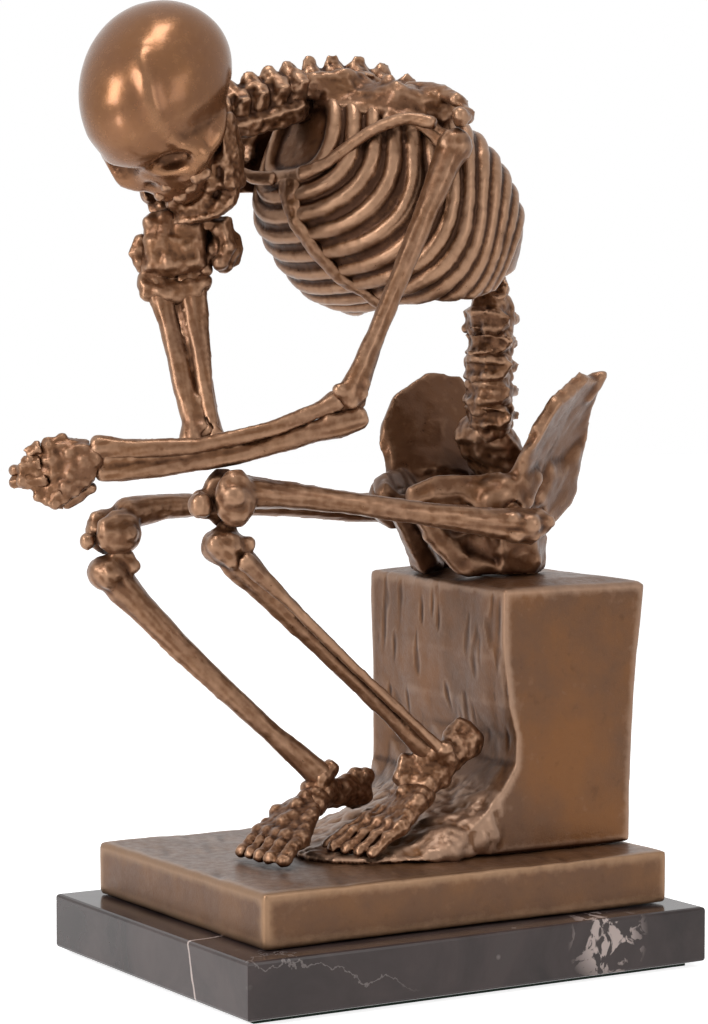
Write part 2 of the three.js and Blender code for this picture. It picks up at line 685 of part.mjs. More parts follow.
function sternumShape(grow = 0) {
  const at = (t, out) => {
    const { back, front } = thoraxRow(t);
    return front.clone().addScaledVector(front.clone().sub(back).normalize(), out);
  };
  return limb([
    [at(0, 0), 4.6, 1.9], [at(0.12, 0), 4, 1.8], [at(0.3, 0), 2.5, 1.7], [at(0.5, 0), 2.6, 1.7],
    [at(0.72, 0), 2.5, 1.6],
    [at(0.88, 0), 1.8, 1.5], [at(1, 1).add(place(0, 1, -2.6)), 1.9, 1.9],
  ], thorax_left, { grow, steps: 1, sides: 8 });
}

// The shoulders and arms

function clavicleShape(side, grow = 0) {
  const { shoulder } = arms[side];
  const way = sign[side];
  const start = thoraxRow(0).front.clone().addScaledVector(thorax_left, 5.4 * way).add(place(0, -1, 1));
  const end = shifted(shoulder, -3 * way, -4.5, 7.2);
  const bow = side === 'left' ? 4.6 : 2;
  return limb([
    [start, 2.3], [shifted(mix(start, end, 0.22), 0, -0.6, 0), 1.9], [shifted(mix(start, end, 0.5), 0, 0.6, bow), 1.8],
    [mix(start, end, 0.78).add(place(0, 0, bow * 0.9)), 1.9], [end, 2.2],
  ], place(0, 0, 1), { grow, steps: 2, sides: 7 });
}

// A place on the back or side of the ribcage: t runs down it and share from the spine round.
function overRibs(side, t, share, out) {
  const { back, front, half } = thoraxRow(t);
  const middle = mix(back, front, 0.5);
  const reach = back.clone().sub(middle);
  const angle = share * Math.PI;
  const place_on = middle.clone().addScaledVector(reach, Math.cos(angle))
    .addScaledVector(thorax_left, half * sign[side] * Math.sin(angle));
  return place_on.add(place_on.clone().sub(middle).normalize().multiplyScalar(out));
}

// The part of a shoulder blade that reaches forward over the ribs, from its four corners
function wingPlate([top_back, top_front, low_back, low_front], grow) {
  const row = (back, front, out) => [0, 0.5, 1].map((t) => shifted(mix(back, front, t), -out * Math.sin(Math.PI * t), 0, 0));
  const middle = row(mix(top_back, low_back, 0.5), mix(top_front, low_front, 0.5), 2.4);
  return plate([row(top_back, top_front, 1), middle, row(low_back, low_front, 1)], () => 3.4, grow);
}

function scapulaShape(side, grow = 0) {
  const way = sign[side];
  const { shoulder, scapula_slide, scapula_lift } = arms[side];
  const surface = (t, share, out) =>
    overRibs(side, t, share + scapula_slide, out).add(place(0, -scapula_lift * 0.3, scapula_lift * (1 - t)));
  const grid = [];
  for (let i = 0; i <= 3; i += 1) {
    const down = i / 3;
    const row = [];
    for (let j = 0; j <= 3; j += 1) {
      const out = j / 3;
      const share = 0.2 + out * 0.26 * (1 - 0.8 * down);
      row.push(surface(0.14 + 0.28 * down, share, 3.2 + 0.8 * Math.sin(Math.PI * out)));
    }
    grid.push(row);
  }
  const bar = { grow, steps: 1, sides: 5 };
  const acromion = shifted(shoulder, 0.5 * way, 4.5, 9);
  const socket = shifted(shoulder, -5.5 * way, 4, 0.5);
  const inner = surface(0.27, 0.17, 5);
  const neck_root = surface(0.22, 0.36, 3);
  const angle_top = surface(0.12, 0.24, 9);
  const wing = arms[side].scapula_wing ? [wingPlate(arms[side].scapula_wing, grow)] : [];
  return join([
    ...wing,
    plate(grid, (down, out) => 2.6 + Math.abs(out - 0.5), grow),
    limb([[inner, 1.4, 1.6], [mix(inner, acromion, 0.4).add(place(0, 2, 2.4)), 1.6, 2.6],
      [mix(inner, acromion, 0.75).add(place(0, 2.5, 2.2)), 1.8, 2.4], [acromion, 3.2, 2.6],
      [shifted(acromion, 2.2 * way, -3.5, -1.5), 2.8, 2.2]], place(1, 0, 0), bar),
    limb([[neck_root, 3, 2], [mix(neck_root, socket, 0.6), 2.8], [socket, 4.4, 3.6]], place(0, 0, 1), bar),
    limb([[surface(0.2, 0.4, 2), 1.8], [mix(surface(0.2, 0.4, 2), angle_top, 0.5).add(place(0, 0, 2)), 1.8],
      [angle_top, 2.4]], place(1, 0, 0), bar),
  ]);
}

function humerusShape(side, grow = 0) {
  const { shoulder, elbow, humerus_size } = arms[side];
  const way = sign[side];
  const foot = mix(elbow, shoulder, 0.03);
  const across = place(0.35 * way, -0.8, 0.1);
  const profile = [
    [0.02, 4.4, 4.8], [0.1, 3.9, 4.4], [0.25, 3.2, 3.4], [0.5, 2.9, 2.9], [0.75, 2.9, 2.7], [0.9, 4.3, 3], [1, 6, 3.7],
  ];
  const stations = profile
    .map(([t, wide, deep]) => [mix(shoulder, foot, t), wide * humerus_size, deep * humerus_size]);
  return join([
    limb(stations, across, { grow, steps: 1 }),
    ball(shifted(shoulder, 0.6 * way, 0.5, 0.5), [5, 5.4, 5.4], { grow }),
  ]);
}

// A place on one forearm bone: t from elbow to wrist, off to one side of the middle line.
function forearmSetting(side) {
  const { elbow, wrist, forearm_sag } = arms[side];
  const along_arm = wrist.clone().sub(elbow).normalize();
  const spread = side === 'left' ? place(0.15, 0, 1) : place(0.45, 0.85, 0);
  spread.addScaledVector(along_arm, -spread.dot(along_arm)).normalize();
  const at = (t, off) => mix(elbow, wrist, t).addScaledVector(spread, off)
    .add(place(0, 0, -forearm_sag * Math.sin(Math.PI * Math.min(1, Math.max(0, t)))));
  return { at, spread };
}

function ulnaShape(side, grow = 0) {
  const { at, spread } = forearmSetting(side);
  const k = arms[side].wrist_size;
  return limb([
    [at(-0.05, -3.4), 3.4, 3], [at(0.04, -3.8), 4, 3.6], [at(0.14, -3), 3, 2.9], [at(0.45, -2.6 * k), 2.2 * k, 2.2],
    [at(0.75, -3 * k), 2.2 * k, 2.1], [at(0.92, -3.6 * k), 2.8 * k, 2.7], [at(1, -3.6 * k), 3 * k, 2.9],
  ], spread, { grow, steps: 1 });
}

function radiusShape(side, grow = 0) {
  const { at, spread } = forearmSetting(side);
  const k = arms[side].wrist_size;
  return limb([
    [at(0.03, 2.6), 3.3, 3.1], [at(0.1, 2.2), 2.5, 2.5], [at(0.3, 2.3), 2.4, 2.3], [at(0.6, 2.4 * k), 2.3 * k, 2.3],
    [at(0.86, 2.8 * k), 3 * k, 2.7], [at(1, 3 * k), 3.9 * k, 3.4],
  ], spread, { grow, steps: 1 });
}

// The hands. Places on a hand are given from the wrist: how far out along it, how far out of
// its back, and how far to one side. Each finger is a chain of such places from its knuckle.

function handSetting(side) {
  const { elbow, wrist } = arms[side];
  const ahead = side === 'left' ? wrist.clone().sub(elbow).normalize() : place(-0.15, 0.1, 1).normalize();
  const dorsal = place(0.86, -0.5, 0.1);
  dorsal.addScaledVector(ahead, -dorsal.dot(ahead)).normalize();
  const spread = new THREE.Vector3().crossVectors(dorsal, ahead).multiplyScalar(-sign[side]).normalize();
  const at = (far, out, off) => wrist.clone()
    .addScaledVector(ahead, far).addScaledVector(dorsal, out).addScaledVector(spread, off);
  return { at, dorsal, spread };
}

const finger_names = ['little_finger', 'ring_finger', 'middle_finger', 'index_finger'];
const hand_plans = {
  left: {
    palm: [[2.6, 0, 0, 6.4, 4.6], [7, 0, 0, 7.6, 4.6], [11, 0, 0, 7.4, 3.6]],
    metacarpals: [
      [[5, 1, -4.4], [10, 1.6, -6.4]], [[5, 1, -1.4], [13, 1.6, -2]],
      [[5, 1, 1.4], [13.8, 1.6, 2.2]], [[5, 1, 4.4], [13, 1.4, 6.4]],
    ],
    fingers: [
      [[12, 1, -7], [14.8, 1, -8.6], [12, -3, -9.4]], [[15, 1.2, -2.4], [20, 0.4, -2], [24, -1.4, -1.4]],
      [[15.8, 1.2, 2.2], [19.5, 0.6, 2.4], [19.4, -3.8, 2.2]], [[15, 1, 6], [17.2, 0.6, 5.2], [15.6, -3.6, 4.6]],
    ],
    thumb: [[3.6, -1.6, -7], [7.5, -2.6, -8.6], [11.5, -3.4, -10.2]],
  },
  right: {
    palm: [[2.6, 0, 0, 8.4, 5.6], [8, 0, 0, 9, 6.4], [14, 0, -0.6, 8.4, 6]],
    metacarpals: [
      [[4, 4, 5.4], [15.5, 3.6, 5.8]], [[4, 4.6, 1.8], [16.5, 4.4, 2]],
      [[4, 4.6, -1.8], [16.5, 4.4, -2.2]], [[4, 4, -5.4], [15.5, 3.6, -6]],
    ],
    fingers: [
      [[14.8, 4.6, -8.6], [14.4, 4.8, -13.4], [8, 4.8, -15], [3.6, 4.2, -13.2]],
      [[16, 1.2, -8.6], [15.2, 1.2, -14], [7, 1.2, -15.6], [2.6, 1, -13.6]],
      [[16, -2.2, -8.6], [14.6, -2.4, -13.6], [7, -2.4, -15.2], [3.4, -2.4, -13]],
      [[14.8, -5.4, -8.6], [13.4, -5.6, -12.8], [7.4, -5.6, -14], [4.6, -5.4, -12]],
    ],
    thumb: [[2.6, 0, 9], [6.5, 1, 11], [10.5, 1.4, 10]],
  },
};

function palmShape(side, grow = 0) {
  const { at, spread, dorsal } = handSetting(side);
  const { palm, metacarpals } = hand_plans[side];
  const block = palm.map(([far, out, off, wide, deep]) => [at(far, out, off), wide, deep]);
  const rays = metacarpals.map(([root, knuckle]) =>
    limb([[at(...root), 2], [at(...knuckle), 2.7]], dorsal, { grow, steps: 1, sides: 5 }));
  return join([limb(block, spread, { grow, steps: 1, sides: 7 }), ...rays]);
}

function fingerShape(side, number, grow = 0) {
  const { at, dorsal } = handSetting(side);
  const chain = hand_plans[side].fingers[number].map((spot) => at(...spot));
  const stations = [[chain[0], 2.6]];
  chain.slice(1).forEach((joint, i) => {
    const last = i === chain.length - 2;
    stations.push([mix(chain[i], joint, 0.5), 2.1], [joint, last ? 2.1 : 2.7]);
  });
  return limb(stations, dorsal, { grow, steps: 1, sides: 5 });
}

// The curled fingers of the right hand are cast against each other, as one piece with the hollow filled.
function curledFingers(grow = 0) {
  const { at } = handSetting('right');
  const joints = hand_plans.right.fingers.flatMap((chain) => chain.slice(1).map((spot) => at(...spot)));
  const middle = joints.reduce((sum, joint) => sum.add(joint), place(0, 0, 0)).divideScalar(joints.length);
  const filling = ball(middle, [5.4, 5.4, 7], { grow, sides: 6, rows: 4 });
  return join([...[0, 1, 2, 3].map((number) => fingerShape('right', number, grow)), filling]);
}

function thumbShape(side, grow = 0) {
  const { at, dorsal } = handSetting(side);
  const [root, middle, tip] = hand_plans[side].thumb.map((spot) => at(...spot));
  const stations = [[root, 2.2], [mix(root, middle, 0.5), 1.8], [middle, 2.4], [tip, 1.8]];
  return limb(stations, dorsal, { grow, steps: 1, sides: 6 });
}

// The head, made upright about the middle of its cranium and turned into place

function craniumShape(grow) {
  const geometry = new THREE.SphereGeometry(1, 14, 10);
  const corner = geometry.attributes.position;
  for (let i = 0; i < corner.count; i += 1) {
    const x = corner.getX(i);
    const y = corner.getY(i);
    const z = corner.getZ(i);
    const boxy = 1 + 0.18 * (x * x * y * y + y * y * z * z + z * z * x * x);
    const wide = (cranium_half_width + grow) * (1 + 0.13 * y) * boxy;
    const tall = ((z > 0 ? cranium_above : cranium_below) + grow) * (1 + 0.05 * y) * boxy;
    const p = head(x * wide, y * (cranium_half_length + grow) * boxy, z * tall);
    corner.setXYZ(i, p.x, p.y, p.z);
  }
  return geometryToSolid(geometry);
}

function skullShape(grow = 0) {
  const left = head_axes[0];
  const bar = { grow, steps: 1, sides: 5 };
  const face = limb([
    [head(0, -14.5, -8), 12.5, 7.5], [head(0, -15, -13), 11.6, 7], [head(0, -14.6, -18.5), 9.2, 6.6],
    [head(0, -13.8, -24), 8, 5.8], [head(0, -13.4, -27), 6.6, 4.6],
  ], left, { sides: 10, steps: 1, grow });
  const brow = limb([
    [head(-13.6, -17, -6), 2, 2], [head(-7.4, -22.4, -4.2), 2.2, 2], [head(0, -23, -6), 1.8, 1.8],
    [head(7.4, -22.4, -4.2), 2.2, 2], [head(13.6, -17, -6), 2, 2],
  ], head_axes[2], bar);
  const cheek = (way) => limb([
    [head(13.6 * way, -16.6, -6), 2.4, 2.6], [head(14.4 * way, -16, -10.5), 2.6, 3.2],
    [head(12.2 * way, -17.4, -14.8), 3.6, 3.4], [head(7.6 * way, -18.4, -17), 3, 3.2],
  ], left, bar);
  const arch = (way) => limb([
    [head(13.4 * way, -16, -12.4), 2.4, 3], [head(16 * way, -9, -11.2), 3, 3.4], [head(16 * way, 0, -9), 3, 3.6],
  ], left, bar);
  const lump = { axes: head_axes, sides: 6, rows: 4 };
  const jaw_hinge = (way) => ball(head(8.4 * way, -7.6, -16.5), [4.8, 8.6, 12], { ...lump, grow });
  const both = (shape) => [shape(1), shape(-1)];
  const bone = join([craniumShape(grow), face, brow, ...both(cheek), ...both(arch), ...both(jaw_hinge)]);
  if (grow > 0) return bone;
  const hollow = { axes: head_axes, sides: 8, rows: 5 };
  const socket = (way) => ball(head(7.8 * way, -23, -9.4), [4.9, 7, 3.9], hollow);
  const temple = (way) => ball(head(21.5 * way, -11, -3), [4, 7.4, 5.4], lump);
  const nose_stations = [[head(0, -24, -12), 1.2, 1.8], [head(0, -22.5, -17.5), 2.6, 2.8]];
  const nose = limb(nose_stations, left, { sides: 6, steps: 1 });
  return bone.subtract(join([...both(socket), ...both(temple), nose]));
}

function mandibleShape(grow = 0) {
  const bar = { sides: 5, steps: 1, grow };
  const jaw = [[12, -10.5, -30], [10.2, -13.2, -32], [7, -15.6, -32.4], [3.4, -17, -31.6], [0, -17.4, -31]];
  const arc = [...jaw, ...jaw.slice(0, -1).reverse().map(([x, y, z]) => [-x, y, z])];
  const stations = arc.map(([x, y, z]) => [head(x, y, z), 2.4, 4.2]);
  const ramus = (way) => limb([
    [head(15.2 * way, 1, -14), 2, 4], [head(14.6 * way, -5, -22.5), 2.2, 6.2],
    [head(13.2 * way, -10.4, -29), 2.6, 6.2],
  ], head_axes[0], bar);
  return join([limb(stations, head_axes[2], bar), ramus(1), ramus(-1)]);
}

// Putting the pieces together. Every bone gives room to the ones placed before it.

const bronze = { color: 0x7a5238, roughness: 0.34, metalness: 0.9 };
const black_marble = { color: 0x2a2222, roughness: 0.12, metalness: 0 };
const green_felt = { color: 0x26382c, roughness: 0.95, metalness: 0 };
const steel = { color: 0x9a9c9e, roughness: 0.4, metalness: 0.9 };

const statue = new THREE.Group();
const figure = new THREE.Group();
figure.position.set(seat_middle_x, seat_front_y, plinth_top + joint_gap);
statue.add(figure);

function place_piece(group, name, shape, finish) {
  const { vertProperties, triVerts } = shape.getMesh();
  const geometry = new THREE.BufferGeometry();
  geometry.setAttribute('position', new THREE.BufferAttribute(new Float32Array(vertProperties), 3));
  geometry.setIndex(new THREE.BufferAttribute(new Uint32Array(triVerts), 1));
  geometry.computeVertexNormals();
  const mesh = new THREE.Mesh(geometry, new THREE.MeshStandardMaterial(finish));
  mesh.name = name;
  group.add(mesh);
}

const felt_sheet = slab(marble_width - 2 * felt_margin, marble_length - 2 * felt_margin, felt_thick, 0);
place_piece(statue, 'felt_sheet', felt_sheet, green_felt);
place_piece(statue, 'marble_base', marbleBase(), black_marble);
place_piece(statue, 'bronze_plinth', bronzePlinth(), bronze);
stud_places.forEach(([x, y], i) => {
  const end = i === 0 ? 'front' : 'rear';
  const stud = rod(stud_diameter, stud_top - stud_foot, x, y, stud_foot, 16);
  place_piece(statue, `fixing_stud_${end}`, stud, steel);
  place_piece(statue, `fixing_washer_${end}`, washer(x, y), steel);
  place_piece(statue, `fixing_nut_${end}`, nut(x, y), steel);
});

// Bones that are already placed, with the function that gives the room each one takes
const placed = new Map();

function place_bone(name, shapeWith, neighbours, extra_rooms = []) {
  const rooms = neighbours.map((other) => placed.get(other)(joint_gap));
  place_piece(figure, name, trim(shapeWith(0), [...rooms, ...extra_rooms]), bronze);
  placed.set(name, shapeWith);
}

place_bone('seat_block', seatBlock, []);
for (const side of sides_of_body) {
  const other = side === 'right' ? ['left_femur', 'left_tibia'] : [];
  place_bone(`${side}_femur`, (g) => femurShape(side, g), ['seat_block']);
  place_bone(`${side}_tibia`, (g) => tibiaShape(side, g), [`${side}_femur`, ...other]);
  place_bone(`${side}_patella`, (g) => patellaShape(side, g), [`${side}_femur`, `${side}_tibia`]);
  place_bone(`${side}_fibula`, (g) => fibulaShape(side, g), [`${side}_femur`, `${side}_tibia`]);
  const leg_bones = [`${side}_tibia`, `${side}_fibula`, 'seat_block'];
  place_bone(`${side}_hindfoot`, (g) => hindfootShape(side, g), leg_bones);
  const near_foot = side === 'right' ? ['left_hindfoot', 'left_forefoot'] : [];
  place_bone(`${side}_forefoot`, (g) => forefootShape(side, g), [...leg_bones, `${side}_hindfoot`, ...near_foot]);
}
place_bone('sacrum', sacrumShape, ['seat_block']);
for (const side of sides_of_body) {
  const other = side === 'right' ? ['left_hip_bone'] : [];
  place_bone(`${side}_hip_bone`, (g) => hipBoneShape(side, g), ['sacrum', 'seat_block', `${side}_femur`, ...other]);
}
place_bone('thoracic_spine', thoracicShape, []);
for (let number = 1; number <= lumbar_count; number += 1) {
  const rooms = number === 1 ? ['sacrum', 'left_hip_bone', 'right_hip_bone'] : ['thoracic_spine'];
  place_bone(`lumbar_vertebra_${number}`, (g) => lumbarShape(number, g), rooms);
}
place_bone('skull', skullShape, []);
place_bone('cervical_spine', cervicalShape, ['thoracic_spine', 'skull']);
place_bone('sternum', sternumShape, []);
place_bone('ribcage', ribcageShape, ['sternum', 'lumbar_vertebra_5', 'cervical_spine'],
  [columnRoom(spine, thoracic_count, thoracic), columnRoom(neck, cervical_count, cervical)]);
for (const side of sides_of_body) {
  const rests_on = side === 'right' ? ['left_femur', 'left_ulna', 'left_radius'] : ['left_femur'];
  place_bone(`${side}_humerus`, (g) => humerusShape(side, g), ['ribcage', ...rests_on]);
  place_bone(`${side}_scapula`, (g) => scapulaShape(side, g), ['ribcage', 'thoracic_spine', `${side}_humerus`]);
  place_bone(`${side}_clavicle`, (g) => clavicleShape(side, g),
    ['ribcage', 'sternum', `${side}_scapula`, `${side}_humerus`]);
  place_bone(`${side}_ulna`, (g) => ulnaShape(side, g), [`${side}_humerus`, ...rests_on]);
  place_bone(`${side}_radius`, (g) => radiusShape(side, g), [`${side}_humerus`, `${side}_ulna`, ...rests_on]);
}
place_bone('mandible', mandibleShape, ['skull', 'cervical_spine']);
for (const side of sides_of_body) {
  const arm = [`${side}_ulna`, `${side}_radius`, 'mandible', 'skull'];
  place_bone(`${side}_palm`, (g) => palmShape(side, g), arm);
  place_bone(`${side}_thumb`, (g) => thumbShape(side, g), [...arm, `${side}_palm`]);
}
finger_names.forEach((finger, number) => {
  const beside = number > 0 ? [`left_${finger_names[number - 1]}`] : ['left_thumb'];
  place_bone(`left_${finger}`, (g) => fingerShape('left', number, g), ['left_palm', ...beside]);
});
place_bone('right_fingers', curledFingers, ['right_palm', 'mandible', 'skull', 'right_thumb']);

export default statue;
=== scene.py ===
import math

import bmesh
import bpy
import numpy as np
from mathutils import Matrix, Vector
from mathutils.bvhtree import BVHTree


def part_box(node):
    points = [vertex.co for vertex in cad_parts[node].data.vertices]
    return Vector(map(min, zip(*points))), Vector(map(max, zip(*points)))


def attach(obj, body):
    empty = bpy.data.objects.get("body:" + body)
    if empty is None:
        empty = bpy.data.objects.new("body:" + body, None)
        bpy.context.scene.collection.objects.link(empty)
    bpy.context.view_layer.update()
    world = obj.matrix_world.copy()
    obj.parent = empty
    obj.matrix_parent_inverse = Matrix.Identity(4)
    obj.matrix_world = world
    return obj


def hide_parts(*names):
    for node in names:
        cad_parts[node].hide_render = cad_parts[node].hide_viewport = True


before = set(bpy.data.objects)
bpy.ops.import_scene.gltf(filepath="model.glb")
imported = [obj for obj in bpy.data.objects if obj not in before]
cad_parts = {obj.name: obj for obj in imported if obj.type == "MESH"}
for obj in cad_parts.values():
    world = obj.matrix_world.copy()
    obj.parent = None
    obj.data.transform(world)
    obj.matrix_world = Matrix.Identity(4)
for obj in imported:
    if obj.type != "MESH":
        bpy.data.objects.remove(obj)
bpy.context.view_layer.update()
mm = 0.001


# The felt sheet and the fixings under the slab. The felt is thin dark green wool, glued on
# after the nuts are tightened. Studs, washers and nuts are plain zinc-plated steel, and they
# stay as the frame has them.

def feed(tree, node, inputs):
    """Fills inputs of a node by name or number: a socket is linked, anything else is set."""
    for key, value in inputs.items():
        if isinstance(value, bpy.types.NodeSocket):
            tree.links.new(value, node.inputs[key])
        else:
            node.inputs[key].default_value = value


def new_material(name, metallic, roughness):
    """A material with one Principled shader, its node tree and that shader."""
    material = bpy.data.materials.new(name)
    material.use_nodes = True
    tree = material.node_tree
    shader = tree.nodes["Principled BSDF"]
    feed(tree, shader, {"Metallic": metallic, "Roughness": roughness})
    return material, tree, shader


def add_node(tree, kind, inputs=None, **settings):
    """A new shader node of that kind, with its inputs and with settings as attributes."""
    node = tree.nodes.new("ShaderNode" + kind)
    for key, value in settings.items():
        setattr(node, key, value)
    feed(tree, node, inputs or {})
    return node


def place_of(tree):
    """Object coordinates, which are metres in the shared frame."""
    return add_node(tree, "TexCoord").outputs["Object"]


def noise_at(tree, place, scale, detail=3.0, roughness=0.5, distortion=0.0):
    return add_node(tree, "TexNoise", {
        "Vector": place, "Scale": scale, "Detail": detail, "Roughness": roughness,
        "Distortion": distortion}).outputs["Fac"]


def ramp_of(tree, value, stops):
    """A colour ramp over a value. Stops are (position, colour)."""
    node = add_node(tree, "ValToRGB", {"Fac": value})
    band = node.color_ramp
    while len(band.elements) < len(stops):
        band.elements.new(0.5)
    for element, (position, colour) in zip(band.elements, stops):
        element.position = position
        element.color = (*colour, 1.0)
    return node.outputs["Color"]


def spread_of(tree, value, low, high, to_low=0.0, to_high=1.0):
    """The value moved from low..high to another span, and held inside it."""
    return add_node(tree, "MapRange", {
        "Value": value, "From Min": low, "From Max": high, "To Min": to_low,
        "To Max": to_high}).outputs["Result"]


def bump_of(tree, shader, height, strength, distance):
    node = add_node(tree, "Bump", {"Height": height, "Strength": strength, "Distance": distance})
    feed(tree, shader, {"Normal": node.outputs["Normal"]})


def mix_of(tree, share, first, second):
    """Two colours mixed by a share."""
    return add_node(tree, "Mix", {0: share, 6: first, 7: second}, data_type="RGBA").outputs[2]


def dress(node, material):
    """Gives a frame node, which keeps its shape, a finished material."""
    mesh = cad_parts[node].data
    mesh.materials.clear()
    mesh.materials.append(material)


felt_green = (0.018, 0.04, 0.024)
felt, tree, shader = new_material("green_felt", 0.0, 0.95)
fibres = noise_at(tree, place_of(tree), 1400, 4)
feed(tree, shader, {"Sheen Weight": 0.4, "Base Color": ramp_of(tree, fibres, [
    (0.3, tuple(0.6 * c for c in felt_green)), (0.7, tuple(1.5 * c for c in felt_green))])})
bump_of(tree, shader, fibres, 0.5, 0.0004)
dress("felt_sheet", felt)

zinc, tree, shader = new_material("zinc_steel", 1.0, 0.38)
spangle = noise_at(tree, place_of(tree), 700, 3)
feed(tree, shader, {
    "Base Color": ramp_of(tree, spangle, [(0.3, (0.36, 0.37, 0.38)), (0.7, (0.52, 0.53, 0.54))]),
    "Roughness": spread_of(tree, spangle, 0.3, 0.7, 0.3, 0.48)})
for end in ("front", "rear"):
    for fixing in ("stud", "washer", "nut"):
        dress(f"fixing_{fixing}_{end}", zinc)


# The marble slab. It is black marble, sawn and polished on every face, with a white vein down
# one end, a broken patch of white calcite near a corner and hair-thin veins between them. The
# plinth stands on it, held by two studs from below.

near_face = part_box("marble_base")[1][0]
marble_black = (0.03, 0.02, 0.019)
marble_brown = (0.07, 0.048, 0.045)
marble_pale = (0.07, 0.054, 0.05)
calcite_white = (0.62, 0.5, 0.46, 1.0)
vein_grey = (0.2, 0.165, 0.155, 1.0)

marble, tree, shader = new_material("black_marble", 0.0, 0.16)
place = place_of(tree)
cloud = noise_at(tree, place, 34, 6, 0.6, 0.6)
colour = ramp_of(tree, cloud, [(0.35, marble_black), (0.62, marble_brown), (0.8, marble_pale)])


def line_mask(tree, place, bend_scale, bend, across, offset, half_width):
    """A mask that is 1 along one bent sheet through the stone. across is the sheet's normal."""
    wander = add_node(tree, "TexNoise", {
        "Vector": place, "Scale": bend_scale, "Detail": 5.0, "Roughness": 0.55})
    shift = add_node(tree, "VectorMath", {0: wander.outputs["Color"], 1: (0.5, 0.5, 0.5)},
                     operation="SUBTRACT")
    scaled = add_node(tree, "VectorMath", {0: shift.outputs[0], "Scale": bend}, operation="SCALE")
    moved = add_node(tree, "VectorMath", {0: place, 1: scaled.outputs[0]}, operation="ADD")
    reach = add_node(tree, "VectorMath", {0: moved.outputs[0], 1: across},
                     operation="DOT_PRODUCT")
    away = add_node(tree, "Math", {0: reach.outputs["Value"], 1: offset}, operation="SUBTRACT")
    size = add_node(tree, "Math", {0: away.outputs[0]}, operation="ABSOLUTE")
    return spread_of(tree, size.outputs[0], 0.3 * half_width, half_width, 1.0, 0.0)


def both(tree, first, second, how="MULTIPLY"):
    return add_node(tree, "Math", {0: first, 1: second}, operation=how, use_clamp=True).outputs[0]


def near_point(tree, place, centre, reach, edge):
    """A mask that is 1 within reach of a point and 0 past reach + edge."""
    gap = add_node(tree, "VectorMath", {0: place, 1: centre}, operation="DISTANCE")
    return spread_of(tree, gap.outputs["Value"], reach, reach + edge, 1.0, 0.0)


end_vein = line_mask(tree, place, 60, 0.004, (1.0, 0.06, 0.3), 0.0245, 0.0006)
hair_vein = line_mask(tree, place, 90, 0.022, (0.1, 0.25, 0.97), 0.0045, 0.00035)
hair_vein = both(tree, hair_vein, near_point(tree, place, (near_face, -0.052, 0.012), 0.02, 0.012))
specks = add_node(tree, "TexVoronoi", {"Vector": place, "Scale": 95.0, "Randomness": 1.0})
speck_mask = spread_of(tree, specks.outputs["Distance"], 0.05, 0.1, 1.0, 0.0)
patch = noise_at(tree, place, 110, 5, 0.55, 2.2)
patch_mask = both(tree, spread_of(tree, patch, 0.5, 0.54), near_point(
    tree, place, (near_face, 0.041, 0.0115), 0.006, 0.008))
colour = mix_of(tree, both(tree, speck_mask, spread_of(tree, cloud, 0.5, 0.6)), colour, vein_grey)
colour = mix_of(tree, hair_vein, colour, vein_grey)
colour = mix_of(tree, end_vein, colour, calcite_white)
colour = mix_of(tree, patch_mask, colour, calcite_white)
feed(tree, shader, {"Base Color": colour, "Specular IOR Level": 0.3,
                    "Roughness": spread_of(tree, cloud, 0.3, 0.7, 0.12, 0.24)})
bump_of(tree, shader, noise_at(tree, place, 500, 3), 0.04, 0.0002)
dress("marble_base", marble)


# The bronze plinth. It is a shallow sand-cast tray turned upside down, filed along its edges and
# worked by hand on top, where tool strokes still show. It is patinated brown and waxed like the
# whole figure.

def neighbours_mean(values, edges):
    """For every point, the mean place of the points that share an edge with it."""
    a, b = edges[:, 0], edges[:, 1]
    count = len(values)
    degree = np.maximum(np.bincount(a, minlength=count) + np.bincount(b, minlength=count), 1)
    columns = [np.bincount(a, values[b, k], count) + np.bincount(b, values[a, k], count)
               for k in range(3)]
    return np.stack(columns, 1) / degree[:, None]


grain_turn = np.array(Matrix.Rotation(0.7, 3, (0.5, 0.3, 0.81)))
seed_step = np.array([7.31, 3.77, 5.93])
cell_primes = np.array([73856093, 19349663, 83492791])
mixing_prime = 1274126177


def grain(points, size, seed):
    """Smooth noise from -1 to 1 at points, with lumps of about the given size. Size may be a
    number or one number for each axis."""
    q = (points / np.asarray(size, float)) @ grain_turn + seed * seed_step
    cell = np.floor(q).astype(np.int64)
    part = q - cell
    ease = part * part * (3 - 2 * part)
    total = np.zeros(len(q))
    for corner in range(8):
        step = np.array([corner & 1, (corner >> 1) & 1, (corner >> 2) & 1])
        key = np.bitwise_xor.reduce((cell + step) * cell_primes, axis=1)
        key = (key ^ (key >> 13)) * mixing_prime & 0x7FFFFFFF
        value = ((key ^ (key >> 15)) & 0xFFFF) / 32767.5 - 1
        weight = np.prod(np.where(step == 1, ease, 1 - ease), axis=1)
        total += weight * value
    return total


cast_points, cast_faces, cast_owners = [], [], []
for name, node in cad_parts.items():
    if name.split("_")[0] not in ("felt", "marble", "fixing"):
        first = len(cast_points)
        cast_points += [tuple(v.co) for v in node.data.vertices]
        cast_faces += [tuple(first + k for k in face.vertices) for face in node.data.polygons]
        cast_owners += [name] * len(node.data.polygons)
whole_cast = BVHTree.FromPolygons(cast_points, cast_faces)
sky_count = 7
golden_turn = 2.39996
skin_lift = 0.0009
sky_rise = np.sqrt(1 - (np.arange(sky_count) + 0.5) / sky_count)
sky_turn = np.arange(sky_count) * golden_turn
sky_flat = np.sqrt(1 - sky_rise ** 2)


